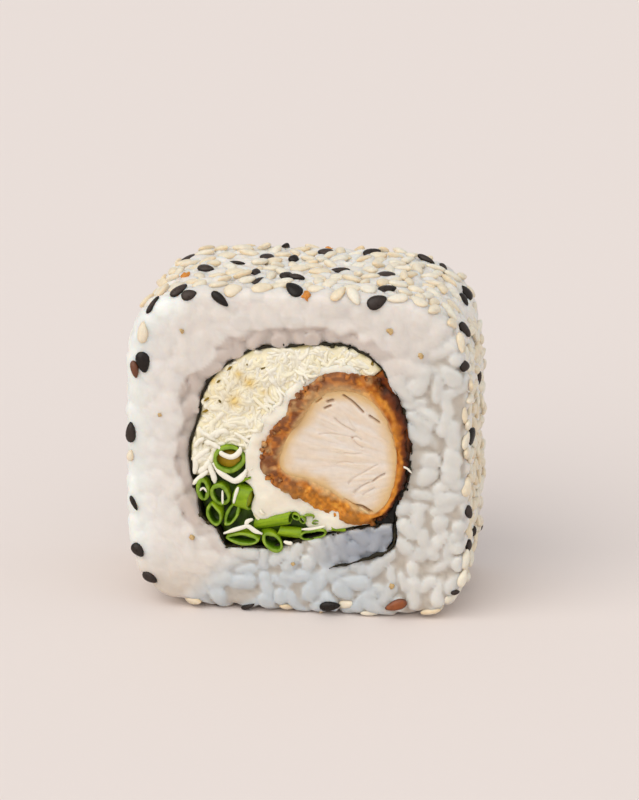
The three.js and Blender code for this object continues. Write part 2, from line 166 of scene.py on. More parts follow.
WHITE_SEEN = [
    (352, 290, 5, 3, 2), (368, 290, 170, 2.4, 1.9), (316, 289, 0, 2.8, 1.5), (330, 285, 20, 2.4, 1.6),
    (416, 291, -20, 2.6, 1.3), (434, 295, -45, 3, 1.5), (449, 312, -52, 3.3, 1.4), (454, 295, -42, 2.8, 1.5),
    (460, 343, -82, 3, 1.3), (378, 257, 5, 2.8, 1.6), (397, 264, -5, 2.8, 1.4), (360, 266, 10, 2.8, 1.6),
    (143, 332, 85, 3.2, 1.5), (233, 290, 15, 2.7, 2), (262, 288, 10, 3.2, 1.9), (236, 272, 5, 3.2, 1.7),
    (247, 280, 15, 2.7, 1.4), (227, 256, 5, 3, 1.5), (200, 284, 40, 2.5, 1.8), (300, 269, 5, 3, 1.6),
    (274, 262, 15, 2.7, 1.6), (467, 487, 82, 2.9, 1.7), (473, 473, 88, 2.6, 1.3), (465, 559, 78, 3, 1.5),
    (462, 578, 74, 2.8, 1.5), (468, 531, 80, 2.4, 1.5), (348, 604, 5, 2.8, 1.3), (181, 602, -20, 2.6, 1.4),
    (263, 607, 175, 2.7, 1.2), (450, 598, 30, 2.5, 1.4), (131, 455, 82, 1.7, 1.1),
]
SEEDS_SEEN = {"black": BLACK_SEEN, "toasted": TOASTED_SEEN, "white": WHITE_SEEN}
FIRST_SEEN = {"black": 9000, "toasted": 9546, "white": 9600}  # the number of their first seed, for chances

# Nori: its middle line in the cut face as (x, z)
NORI_THICKNESS = 0.5
NORI_STEP = 0.42
NORI_LEVELS = np.array((0.35, 0.7, 0.9, 0.96, 0.985, 1))  # rows of its net, as shares of its half width
NORI_LOOP = [
    (12.2, 14.4), (9.1, 13.7), (4.8, 12.6), (0.4, 11.2), (-3.7, 10.1), (-7.7, 10.1), (-10.1, 10.1),
    (-11.5, 12.7), (-13.3, 14), (-14.3, 17.8), (-15.1, 21.6), (-15.3, 25.3), (-14, 29.6), (-13.4, 32.9),
    (-11.7, 35.9), (-9, 38.2), (-5.6, 40.1), (-1.9, 40.5), (2.2, 41), (6, 41.1), (9, 40.4),
    (12, 38.4), (14.2, 34.7), (15.7, 31.5), (16.6, 27.7), (16.5, 23.1), (16, 20.2), (15, 17.4),
    (14.4, 14.4),
]
NORI_TAIL = [(14.4, 11.8), (13, 10.2), (10, 9), (7.3, 8.2), (5, 7.5)]
NORI_BEHIND = 0.7  # how far its edges lie behind the cut faces
TAIL_FORWARD = 0.9  # share of that by which its tail lies further forward
TAIL_FROM = (0.86, 0.91)  # shares of its line between which the tail begins
TAIL_THIN = {"all": 0.45, "end": 0.8, "last": 8}  # how much thinner the tail and its last points are
NORI_FOLD = {"x": 11.7, "reach": 1.3, "thick": 1.6}  # where the tail is folded thick
NORI_RAGGED = {"most": 0.35, "less_on_tail": 0.15, "size": 0.9, "back": 0.1, "from": 0.93}
NORI_UNEVEN = {"middle": 0.6, "by": 0.45, "size": 1.1}
NORI_WANDER = {"by": 0.14, "size": 1.6, "stretch": 0.3}
NORI_FLAKES = {
    "seed": 65, "count": 26, "size": (0.3, 0.8), "slim": 0.7, "thick": 0.3, "aside": (-0.3, 0.25),
    "out": (-0.2, 0.3), "shade": (0, 0.9),
}
LINING_FROM = (10.6, 35.9)
LINING_SLOPE = 0.9
LINING_FACE = 12.4
LINING_WAVES = [(0.9, 0.35), (0.5, 0.25)]
LINING_FRIED = (22, 31)  # heights between which it becomes crust

# Chicken, as closed outlines in the cut face
CHICKEN_MIDDLE = (6.4, 25.4)
CHICKEN_OUTLINE = [
    (16.4, 25.8), (15.7, 29.9), (14.4, 33.8), (12, 36.4), (8.8, 36.6), (6, 37), (1.5, 34.4),
    (-1.4, 30), (-4, 26.7), (-4.6, 23.1), (-2.8, 20), (1.1, 18.3), (3.9, 16.4), (7.4, 15.3),
    (10.2, 14.7), (13, 15.5), (14.7, 17.6), (16.2, 21.8),
]
MEAT_OUTLINE = [
    (14.5, 24), (14.2, 27.1), (12.9, 30.6), (10.1, 33.4), (7.1, 34.2), (3.7, 33.3), (1.3, 30.1),
    (-1.1, 26.4), (-1.9, 23.2), (-1.1, 21.9), (2, 21.1), (5, 19.7), (7.6, 18), (10.9, 16.3),
    (12.6, 17.3), (14.1, 20.5),
]
CRUST_AROUND = 300
MEAT_AROUND = 240
CRUST_LUMPS = [(0.6, 2.1, 71), (0.35, 0.95, 72), (0.25, 0.45, 73)]  # height, size and seed
# Where the sides of the crust begin and are whole, from the chicken's middle
CRUST_SIDES = {"right": (3, 7), "left": (-4, -8), "above": (3, 8), "below": (-4, -7)}
CRUST_CRAGS = 0.7
CRUST_FACE_ROWS = 19
CRUST_WALL_ROWS = np.concatenate([np.arange(0.5, 4, 0.28), np.linspace(4.5, FACE, 8)])  # depths
CRUST_BEHIND = [(-0.2, 4, 0), (-0.2, 1.2, 0), (-0.1, 0.6, 0)]  # rows in the meat: across, depth, roughness
CRUST_CRUMBS = {
    "seed": 74, "count": 100, "across": (0.6, 1.1), "behind": (-0.1, 0.35), "size": (0.4, 1.1),
    "slim": (1, 0.8, 0.8), "crag": (-0.5, 0.4),
}
CRUST_SLUMP = 0.8  # how far the crust's outer edge on the right lies behind the cut face
# The gold ridge on the right is partly a painted highlight, beside a dark edge that is partly painted shade
CRUST_RIDGE = (0.36, 0.14)  # where the gold ridge on the right is between meat and nori, and its width
MEAT_ROWS = 70
MEAT_OVERLAP = 0.25  # how far it reaches into the crust
FIBRE_ORIGIN = (21, 23)
FIBRES = 14
# Slits in the meat: depth, half width and the points of a line
MEAT_SLITS = [
    (0.7, 0.13, [(7.1, 33.8), (8.4, 32.9), (9.9, 31.4)]),
    (0.7, 0.13, [(10.8, 30.9), (12.2, 30)]),
    (0.6, 0.2, [(4.8, 32.8), (5.5, 33)]),
    (0.6, 0.16, [(4.4, 31.8), (5.2, 32.2)]),
    (0.5, 0.14, [(3.2, 32.7), (3.8, 33.2)]),
    (0.24, 0.13, [(5.8, 30.3), (6.9, 29.4), (8.7, 28.5)]),
    (0.1, 0.12, [(7.8, 30.2), (8.3, 29.3), (9.2, 28.5)]),
    (0.12, 0.13, [(3.6, 27.8), (4.9, 28), (6.6, 27.9), (8.3, 27.6)]),
    (0.2, 0.13, [(8.3, 27.5), (8.9, 27.7), (9.6, 27.3)]),
    (0.2, 0.13, [(8.3, 27.5), (9, 26.6), (9.8, 26.1)]),
    (0.14, 0.13, [(7.3, 25.2), (8.5, 25.1), (9.6, 25.2)]),
    (0.1, 0.12, [(6.2, 23.6), (7.4, 23.9), (8.4, 23.7)]),
    (0.16, 0.13, [(7.8, 20.6), (8.6, 21.5), (9.7, 22.2), (11.9, 23.6)]),
    (0.4, 0.13, [(11.3, 21.1), (12, 21.7), (13, 22.3)]),
    (0.26, 0.13, [(8.6, 19.3), (9.6, 20.2), (10.8, 20.9)]),
    (0.2, 0.12, [(9.9, 19), (10.6, 19.5), (11.5, 20.1)]),
    (0.1, 0.12, [(9.3, 18), (10, 18.7), (10.6, 19)]),
    (0.8, 0.18, [(7.4, 18), (8.7, 17.3), (9.8, 17.2), (11.1, 16.4)]),
]

# Cheese
CREAM_OUTLINE = [
    (12, 30), (8.6, 37.9), (5.4, 38.2), (1.6, 36.6), (-1.6, 33.6), (-5, 29.8), (-6.7, 26.2),
    (-8, 22.4), (-8, 18), (-4, 13), (9, 13), (12, 20),
]
CHEESE_VOXEL = 0.34
FILLING_LOW = (-WIDTH / 3, -FACE - 1, HEIGHT / 8)  # corners of a box round the filling
FILLING_HIGH = (WIDTH / 2.6, FACE + 1, HEIGHT * 0.88)
CREAM_FACE = 12.6
CREAM_WAVES = [(3, 0.3), (1.1, 0.14)]  # sizes and heights
GRATED_FACE = 12.15
GRATED_WAVES = [(1.8, 0.22), (0.8, 0.22)]
GRATED_CLEAR = 0.1  # how far it keeps from the middle of the nori
SHREDS = {"seed": 21, "tries": 12000, "count": 520, "steps": 8, "sides": 6, "wiggle": 0.24, "flat": 0.75}
SHRED_AREA = {"x": (-16, 12), "z": (13, 41)}
SHRED_CLEAR = {"nori": 0.02, "chives": -0.2, "chicken": 0.3, "lining": 0.1, "on_cream": 2.5}
SHRED_LENGTH = (1.2, 4.2)
SHRED_RADIUS = (0.2, 0.38)
# Yellow spots in the grated cheese, as x, z, reach and share
CHEESE_STAINS = [
    (-8.1, 36.2, 0.6, 0.8), (-6.6, 34.9, 0.8, 0.8), (-8.8, 32.1, 0.9, 0.7), (-4.4, 33.6, 0.6, 0.5),
    (-12, 35, 0.5, 0.8), (-9.5, 33, 4, 0.14),
]
# Clear shreds round the chives: half width and the points of a line
SHREDS_SEEN = [
    (0.36, [(-11, 25.4), (-10.7, 24.4), (-10.1, 24), (-9.2, 23.8), (-8.4, 24.2), (-7.9, 24.9),
            (-7.9, 25.4)]),
    (0.45, [(-11.9, 22.8), (-10.8, 21.4), (-9.7, 20.6), (-8.7, 20.2), (-7.6, 20.9), (-7, 22)]),
    (0.42, [(-12.6, 23.3), (-12.2, 21.8), (-11.8, 20.8), (-11.6, 19.7)]),
    (0.36, [(-14.8, 19.4), (-14.1, 20.2), (-13.3, 21), (-12.6, 21.6)]),
    (0.4, [(-14.6, 23), (-13.6, 24), (-12.4, 24.9)]),
    (0.42, [(-14, 21.2), (-13, 22.1), (-12.3, 23.1)]),
    (0.38, [(-14.5, 23.6), (-14.4, 22.3), (-14.6, 21)]),
    (0.4, [(-13.1, 25.9), (-12, 25.7), (-11, 25.1)]),
    (0.36, [(-14.6, 25), (-14, 25.9), (-13.1, 26.5)]),
    (0.33, [(-10.4, 12.1), (-8.9, 12.7), (-7.5, 13.2), (-6.9, 13.4), (-5.8, 12.7), (-4.7, 12.3)]),
    (0.3, [(-7.1, 13.4), (-6.9, 14.1), (-6.1, 14.5)]),
    (0.3, [(-1.6, 11.3), (-0.9, 11.1), (-0.3, 11.1)]),
    (0.25, [(-8.2, 19.3), (-8.6, 18.1), (-8.9, 16.8)]),
    (0.17, [(-13.9, 18.4), (-13.6, 18.8), (-13.2, 18.9), (-12.8, 18.3)]),
    (0.17, [(-10.5, 18.7), (-10.5, 17.6), (-10.5, 16.6)]),
    (0.24, [(1, 13.3), (2.8, 13.5), (4.5, 14)]),
    (0.15, [(15.2, 23.6), (16.2, 23.3), (16.9, 22.6)]),
]

# Chives that run through: middle of the section, half width, half height, turn in degrees, wall,
# how pointed it is above and below, and how far its middle lies off its ends to the right and up
CHIVE_OUTLINE = [
    (-18, 8), (6.4, 8), (5.6, 13), (2.6, 13.3), (0.3, 15.6), (-3, 15), (-5.3, 14.3), (-6, 15.6),
    (-5.8, 17.4), (-6.3, 19), (-7.1, 20.4), (-6.9, 22.6), (-7.3, 24.6), (-8.9, 25.5), (-10.9, 25.1),
    (-11.9, 23.4), (-11.4, 21.6), (-12.6, 20.9), (-18, 20.3),
]
CHIVE_TUBES = [
    (-9.5, 23.4, 2.35, 2.1, 9, 0.58, (0, 0.3), (-1.1, 0)),
    (-13.4, 18.6, 0.95, 1.8, 5, 0.52, (0.1, 0.1), (0.2, 0.2)),
    (-10.9, 18, 1.45, 1.85, 22, 0.62, (0.1, 0.1), (0.3, -0.2)),
    (-11.8, 14.9, 1.2, 1.85, 10, 0.5, (0.5, 0.1), (0.3, 0.2)),
    (-9.2, 15, 0.95, 1.9, -31, 0.48, (0.3, 0.25), (0.3, 0.3)),
    (-7.6, 11.4, 0.95, 2.45, 91, 0.48, (0.35, 0.35), (0, 0.4)),
    (-3.2, 11.1, 1.2, 1.75, 50, 0.55, (0.15, 0.1), (-0.7, 0.6)),
    (2.6, 12.5, 0.95, 2.2, -74, 0.45, (0.3, 0.3), (0, -0.3)),
]
# Chopped pieces that lie in a cut face: both ends, as x, z and depth behind the face, half sizes and wall
CHIVE_STUBS = [
    ((-8.4, 17.7, 1.5), (-6.2, 17.3, 0.9), 1.8, 1.4, 0.36),
    ((-5.8, 13.5, 1.7), (-0.6, 14.9, 0.7), 0.95, 0.9, 0.34),
    ((-2.6, 12.5, 1.5), (0.7, 12.4, 1.1), 0.8, 0.8, 0.3),
    ((5, 13.6, 0.35), (7, 13.4, 0.7), 0.36, 0.3, 0.12),
    ((12.8, 12.4, 1.1), (13.4, 13.6, 0.9), 0.4, 0.3, 0.12),
    ((-8.4, 20, 0.6), (-6.8, 20.9, 0.2), 0.4, 0.35, 0.14),
    ((0, 15.3, 1.6), (0.2, 15.1, 0.1), 0.5, 0.6, 0.2),
    ((1.2, 14.8, 1.6), (1.1, 14.7, 0), 0.65, 0.55, 0.2),
    ((2.1, 15.3, 1.6), (2.1, 15.2, 0.1), 0.5, 0.75, 0.2),
    ((3.1, 14.4, 1.6), (3, 14.4, 0.2), 0.35, 0.5, 0.16),
]
# Specks of chive in the grated cheese
CHIVE_SPECKS = [
    (-6.8, 37.8), (-9.4, 37), (-11.1, 34.9), (-12.8, 32.2), (-10.9, 32.1), (-13, 30.4), (11.1, 38.6),
    (-4.5, 37.2),
]
SPECKS = {"seed": 89, "sizes": (0.9, 0.35, 0.35), "out": 0.1, "shade": (0.2, 0.7)}
CHIVE_AROUND = 28
CHIVE_ROWS = (0, 0.004, 0.02, 0.05, 0.11, 0.2, 0.5)  # shares of its length, up to the middle
CHIVE_SLANT = 0.35
# What fills the open end of a chopped piece: which piece, how far in, its thickness and share of the width
CHIVE_PLUG = {"stub": 0, "depth": 0.5, "thickness": 0.6, "share": 1.65}
# What fills the first tube: its sizes, by those of the tube, how far off its middle, and how far in
OLIVE_PLUG = {"wide": 1.8, "deep": 1, "high": 1.5, "off": (-0.3, -0.4), "behind": 1.4}
CHIVE_FACE = 12.9
CHIVE_CORE_FACE = 11.3
CHIVE_CORE_WAVES = [(1.2, 0.4)]

# Crumbs on the rice that the photograph shows: pixel and size
CRUMBS_SEEN = [
    (182, 331, 0.7), (390, 331, 0.9), (160, 415, 0.6), (192, 537, 0.8), (293, 564, 0.6), (392, 586, 0.8),
    (421, 356, 0.8), (186, 277, 1.4), (306, 296, 1.2),
]
CRUMBS_SEED = 99
CRUMB_FRIED = (0.9, 1.2)  # sizes between which they become orange


def srgb(red, green, blue):
    """A colour as shown on screen, from 0 to 255, as the linear values that shaders use."""
    shares = (value / 255 for value in (red, green, blue))
    return np.array([s / 12.92 if s <= 0.04045 else ((s + 0.055) / 1.055) ** 2.4 for s in shares])


# Colours
RICE_WARM = srgb(225, 218, 210)
# Painted light: the rice on the left of the cut face, lighter where the light falls
RICE_LIT_LEFT = srgb(233, 228, 222)
# Loose grains: their own cooler, translucent tone and painted shade
RICE_COOL_SHADED = srgb(216, 214, 208)
RICE_WALL = srgb(236, 229, 219)
# Painted light: the rice along the left edge of the cut face
RICE_LIT_EDGE = srgb(234, 236, 231)
# Painted shade: the loose rice darker towards the bottom, and the smeared rice towards the lower left
RICE_SHADED_LOW = srgb(199, 204, 206)
RICE_SHADED_FOOT = srgb(214, 203, 190)
# The sunken ring round the nori: its own greyer tone and painted shade
RICE_RING_SHADED = srgb(200, 185, 174)
# Painted shade in the gaps between grains
RICE_GAP_SHADE = srgb(190, 177, 160)
# The pocket by the tail: bluish translucent rice and painted shade
RICE_BLUE_SHADED = srgb(162, 167, 176)
SESAME_PALE = srgb(236, 230, 214)
SESAME_DEEP = srgb(233, 217, 188)
# The golden rim of white seeds: their own colour and painted shade
SESAME_RIM_AND_SHADE = srgb(228, 190, 130)
SESAME_BLACK = srgb(20, 13, 7)
# Painted sheen on black seeds, away from the rim
SESAME_SHEEN = srgb(96, 80, 72)
SESAME_BROWN = srgb(62, 42, 36)
SESAME_TOASTED = srgb(146, 76, 26)
NORI_DARK = srgb(18, 14, 8)
NORI_LIGHT = srgb(70, 62, 34)
# Fried dark brown, also painted shade between crags and on the outer edge on the right
CRUST_DARK_AND_SHADE = srgb(96, 38, 0)
# Burnt brown, also painted shade on the outer edge on the right
CRUST_BURNT_AND_SHADE = srgb(50, 22, 8)
CRUST_BROWN = srgb(188, 106, 18)
CRUST_FRIED = srgb(164, 84, 8)
# Fried gold, also a painted highlight on the crags and on the ridge
CRUST_GOLD_AND_HIGHLIGHT = srgb(232, 160, 58)
CRUST_TAN = srgb(222, 182, 126)
CRUST_DULL = srgb(164, 116, 78)
MEAT_PALE = srgb(229, 217, 204)
MEAT_TAN = srgb(222, 191, 146)
# Painted shade in the meat's slits
MEAT_SLIT_SHADE = srgb(160, 108, 52)
CREAM_WHITE = srgb(243, 235, 219)
CREAM_SHADE = srgb(237, 224, 201)
SHRED_WHITE = srgb(243, 237, 220)
SHRED_YELLOW = srgb(244, 234, 202)
STAIN_YELLOW = srgb(226, 186, 70)
GRATED_DEEP = srgb(246, 234, 196)
GRATED_OLIVE = srgb(172, 158, 84)
CHIVE_GREEN = srgb(152, 180, 22)
CHIVE_DEEP = srgb(92, 130, 8)
CHIVE_RIM = srgb(150, 176, 66)
# Painted shade deep in a chive's bore
CHIVE_INSIDE_SHADE = srgb(60, 88, 14)
CHIVE_OLIVE = srgb(186, 148, 30)
CHIVE_MOIST = srgb(150, 160, 24)
CHIVE_SHADE = srgb(26, 34, 10)
CRUMB_ORANGE = srgb(220, 142, 52)
CRUMB_PALE = srgb(202, 170, 116)
FLOOR_PALE = srgb(235, 224, 218)


# Materials: how far a shader's noise spreads, and how far red, green and blue light go under a surface
NOISE_SPAN = (0.3, 0.7)
WARM_GLOW = (1, 0.8, 0.62)


# Numbers

def smoothstep(low, high, value):
    share = np.clip((value - low) / (high - low), 0, 1)
    return share * share * (3 - 2 * share)


def blend_colours(first, second, share):
    """One colour for each share, from the first at 0 to the second at 1."""
    return first + (second - first) * np.asarray(share)[..., None]


def chance(k, quality):
    """A repeatable number from 0 to 1 for the k-th thing and one of its qualities."""
    value = math.sin(k * 12.9898 + quality * 78.233) * 43758.5453
    return value - math.floor(value)


def cell_value(i, j, k, seed):
    """A repeatable number from 0 to 1 for each whole-number cell."""
    mixed = (i * 374761393 + j * 668265263 + k * 2147483629 + seed * 1442695041) & 0xFFFFFFFF
    mixed = ((mixed ^ (mixed >> 13)) * 1274126177) & 0xFFFFFFFF
    return ((mixed ^ (mixed >> 16)) & 0xFFFF) / 0xFFFF


def noise(x, y, z, size, seed):
    """Smooth noise from -1 to 1 whose lumps are about one size wide."""
    cells = []
    shares = []
    for value in (x, y, z):
        scaled = np.asarray(value, float) / size
        low = np.floor(scaled)
        share = scaled - low
        cells.append(low.astype(np.int64))
        shares.append(share * share * (3 - 2 * share))
    total = 0.0
    for corner in itertools.product((0, 1), repeat=3):
        weight = 1.0
        for share, step in zip(shares, corner):
            weight = weight * (share if step else 1 - share)
        total = total + weight * cell_value(*(c + s for c, s in zip(cells, corner)), seed)
    return 2 * total - 1


def smooth_min(first, second, blend):
    """The lesser of two distances, with a rounded seam about one blend wide."""
    overlap = np.maximum(blend - np.abs(first - second), 0) / blend
    return np.minimum(first, second) - overlap * overlap * blend / 4


def smooth_max(first, second, blend):
    return -smooth_min(-first, -second, blend)


def unit(vectors):
    return vectors / np.linalg.norm(vectors, axis=-1, keepdims=True)


def full_turn(count):
    """Angles evenly round a full turn."""
    return np.arange(count) / count * 2 * math.pi


# Lines and outlines in the cut face

def smooth(points, closed, steps):
    """A smooth curve through points, as straight steps."""
    knots = np.array(points, float)
    count = len(knots)
    line = []
    for i in range(count if closed else count - 1):
        here = knots[i]
        there = knots[(i + 1) % count]
        before = knots[i - 1] if closed or i > 0 else 2 * knots[0] - knots[1]
        after = knots[(i + 2) % count] if closed or i + 2 < count else 2 * knots[-1] - knots[-2]
        gaps = [math.sqrt(math.dist(a, b)) for a, b in ((before, here), (here, there), (there, after))]
        leave = (here - before) / gaps[0] - (there - before) / (gaps[0] + gaps[1])
        leave = leave * gaps[1] + (there - here)
        arrive = (after - there) / gaps[2] - (after - here) / (gaps[1] + gaps[2])
        arrive = arrive * gaps[1] + (there - here)
        for step in range(steps):
            t = step / steps
            bend = 3 * (there - here) - 2 * leave - arrive
            twist = 2 * (here - there) + leave + arrive
            line.append(here + leave * t + bend * t ** 2 + twist * t ** 3)
    if not closed:
        line.append(knots[-1])
    return np.array(line)


def line_distance(x, z, line, closed=False):
    """Distance from places in the cut face to a line of straight steps."""
    starts = line if closed else line[:-1]
    ends = np.roll(line, -1, axis=0) if closed else line[1:]
    nearest = np.full(np.broadcast(x, z).shape, np.inf)
    for (ax, az), (bx, bz) in zip(starts, ends):
        ux = bx - ax
        uz = bz - az
        share = np.clip(((x - ax) * ux + (z - az) * uz) / (ux * ux + uz * uz), 0, 1)
        nearest = np.minimum(nearest, np.hypot(x - ax - share * ux, z - az - share * uz))
    return nearest


def outline_distance(x, z, line):
    """Distance outside a closed line, negative inside it."""
    inside = np.zeros(np.broadcast(x, z).shape, bool)
    for (ax, az), (bx, bz) in zip(line, np.roll(line, -1, axis=0)):
        if az == bz:
            continue
        crosses = (az > z) != (bz > z)
        inside ^= crosses & (x < ax + (z - az) / (bz - az) * (bx - ax))
    distance = line_distance(x, z, line, True)
    return np.where(inside, -distance, distance)


nori_line = smooth(NORI_LOOP + NORI_TAIL, False, LINE_STEPS)
loop_line = nori_line[:(len(NORI_LOOP) - 1) * LINE_STEPS + 1]
tail_line = nori_line[(len(NORI_LOOP) - 1) * LINE_STEPS:]
chicken_line = smooth(CHICKEN_OUTLINE, True, LINE_STEPS)
cream_line = smooth(CREAM_OUTLINE, True, LINE_STEPS)
chive_line = smooth(CHIVE_OUTLINE, True, LINE_STEPS)
pocket_line = np.array(TAIL_POCKET, float)


def loop_gap(x, z):
    return outline_distance(x, z, loop_line)


def rim_at(c, s):
    """The roll's outline in a direction from its middle: how far it is, and its outward normal."""
    upper = np.where(c > 0, SQUARENESS["top_right"], SQUARENESS["top_left"])
    lower = np.where(c > 0, SQUARENESS["bottom_right"], SQUARENESS["bottom_left"])
    power = np.where(s > 0, upper, lower)
    across = np.abs(c) / (WIDTH / 2)
    upright = np.abs(s) / (HEIGHT / 2)
    radius = (across ** power + upright ** power) ** (-1 / power)
    normal_x = np.sign(c) * (radius * across) ** (power - 1) / WIDTH
    normal_z = np.sign(s) * (radius * upright) ** (power - 1) / HEIGHT
    length = np.hypot(normal_x, normal_z)
    return radius, normal_x / length, normal_z / length


def side_distance(x, z):
    """Distance outside the roll's outline, negative inside."""
    reach = np.hypot(x, z - MIDDLE) + 1e-6
    c = x / reach
    s = (z - MIDDLE) / reach
    radius, normal_x, normal_z = rim_at(c, s)
    return (reach - radius) * (normal_x * c + normal_z * s)


# Meshes

def grid_triangles(rows, columns, close_rows=False, close_columns=False):
    """Triangles of a net of points, joined up along either way where it closes on itself."""
    index = np.arange(rows * columns).reshape(rows, columns)
    if close_rows:
        index = np.vstack([index, index[:1]])
    if close_columns:
        index = np.hstack([index, index[:, :1]])
    a, b, c, d = index[:-1, :-1], index[1:, :-1], index[1:, 1:], index[:-1, 1:]
    first = np.stack([a, b, c], axis=-1).reshape(-1, 3)
    second = np.stack([a, c, d], axis=-1).reshape(-1, 3)
    return np.vstack([first, second])


def fan(ring, tip):
    """Triangles from a closed ring of points to one point."""
    return np.stack([ring, np.roll(ring, -1), np.full(len(ring), tip)], axis=-1)


def closed_net(rows, columns):
    """Triangles of a net of rings that ends in one point at each end, the last two of its points."""
    count = rows * columns
    ring = np.arange(columns)
    net = grid_triangles(rows, columns, close_columns=True)
    ends = [fan(ring[::-1], count), fan(ring + count - columns, count + 1)]
    return np.vstack([net[:, ::-1], *ends])


def facing_out(points, triangles):
    """The triangles of a closed mesh, turned so that they face out of it."""
    a, b, c = (points[triangles[:, i]] for i in range(3))
    volume = np.einsum("ij,ij->i", a, np.cross(b, c)).sum()
    return triangles if volume > 0 else triangles[:, ::-1]


class Heap:
    """Closed meshes that are joined into one piece, with a colour at each point."""

    def __init__(self):
        self.points = []
        self.triangles = []
        self.tints = []
        self.count = 0

    def add(self, points, triangles, tint):
        self.points.append(points)
        self.triangles.append(facing_out(points - points.mean(axis=0), triangles) + self.count)
        self.tints.append(np.broadcast_to(tint, points.shape))
        self.count += len(points)

    def arrays(self):
        return np.vstack(self.points), np.vstack(self.triangles), np.vstack(self.tints)


def skin(field, origin, voxel):
    """Points and triangles round the part of a grid where a field of distances is negative."""
    grid = openvdb.FloatGrid(float(field.max()))
    grid.copyFromArray(field.astype(np.float32))
    points, triangles, quads = grid.convertToPolygons()
    halves = [quads[:, [2, 1, 0]], quads[:, [0, 3, 2]], triangles[:, ::-1]]
    return points * voxel + origin, np.vstack(halves).astype(np.int64)


def grid_axes(low, high, voxel):
    """The places of a grid along x, y and z, shaped so that they combine into a block."""
    axes = [np.arange(a, b + voxel, voxel) for a, b in zip(low, high)]
    return axes[0][:, None, None], axes[1][None, :, None], axes[2][None, None, :]


def make_piece(name, mesh_arrays, material, replaces=None):
    """A smooth-shaded piece of the roll in the scene, from arrays in millimetres."""
    points, triangles, tint = mesh_arrays
    mesh = bpy.data.meshes.new(name)
    mesh.vertices.add(len(points))
    mesh.vertices.foreach_set("co", (points * MM).astype(np.float32).ravel())
    mesh.loops.add(triangles.size)
    mesh.loops.foreach_set("vertex_index", triangles.astype(np.int32).ravel())
    mesh.polygons.add(len(triangles))
    mesh.polygons.foreach_set("loop_start", np.arange(0, triangles.size, 3, dtype=np.int32))
    mesh.update(calc_edges=True)
    mesh.shade_smooth()
    colours = np.ones((len(points), 4), np.float32)
    colours[:, :3] = tint
    layer = mesh.attributes.new("tint", "FLOAT_COLOR", "POINT")
    layer.data.foreach_set("color", colours.ravel())
    mesh.materials.append(material)
    shown = bpy.data.objects.new(name, mesh)
    bpy.context.scene.collection.objects.link(shown)
    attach(shown, "root")
    if replaces:
        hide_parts(replaces)


# Materials

def add_node(tree, kind, inputs, **settings):
    """A node with its settings made and its inputs set or linked."""
    made = tree.nodes.new(kind)
    for name, value in settings.items():
        setattr(made, name, value)
    for name, value in inputs.items():
        if isinstance(value, bpy.types.NodeSocket):
            tree.links.new(value, made.inputs[name])
        else:
            made.inputs[name].default_value = value
    return made


def tinted_material(name, values, speckle, relief, roughness):
    """A material in the colours stored at the mesh's points, with fine uneven colour, gloss and relief.

    speckle is its size and depth, relief its size and height, both sizes in millimetres, and roughness
    the least and the most."""
    material = bpy.data.materials.new(name)
    material.use_nodes = True
    tree = material.node_tree
    surface = tree.nodes["Principled BSDF"]
    for socket, value in values.items():
        surface.inputs[socket].default_value = value
    place = add_node(tree, "ShaderNodeTexCoord", {}).outputs["Object"]

    def fine(size, detail):
        inputs = {"Vector": place, "Scale": 1 / (size * MM), "Detail": detail}
        return add_node(tree, "ShaderNodeTexNoise", inputs).outputs[0]

    def spread(value, low, high):
        least, most = NOISE_SPAN
        inputs = {"Value": value, "From Min": least, "From Max": most, "To Min": low, "To Max": high}
        return add_node(tree, "ShaderNodeMapRange", inputs).outputs[0]

    tint = add_node(tree, "ShaderNodeAttribute", {}, attribute_name="tint").outputs["Color"]
    speckles = fine(speckle[0], 3)
    shade = spread(speckles, 1 - speckle[1], 1 + speckle[1] / 2)
    scaled = add_node(tree, "ShaderNodeVectorMath", {0: tint, "Scale": shade}, operation="SCALE")
    tree.links.new(scaled.outputs[0], surface.inputs["Base Color"])
    tree.links.new(spread(speckles, *roughness), surface.inputs["Roughness"])
    inputs = {"Height": fine(relief[0], 4), "Distance": relief[1] * MM, "Strength": 1}
    bump = add_node(tree, "ShaderNodeBump", inputs)
    tree.links.new(bump.outputs[0], surface.inputs["Normal"])
    return material


def translucent(weight, reach):
    """Shader values for light that spreads under the surface, by millimetres of reach."""
    return {
        "Subsurface Weight": weight,
        "Subsurface Radius": WARM_GLOW,
        "Subsurface Scale": reach * MM,
    }


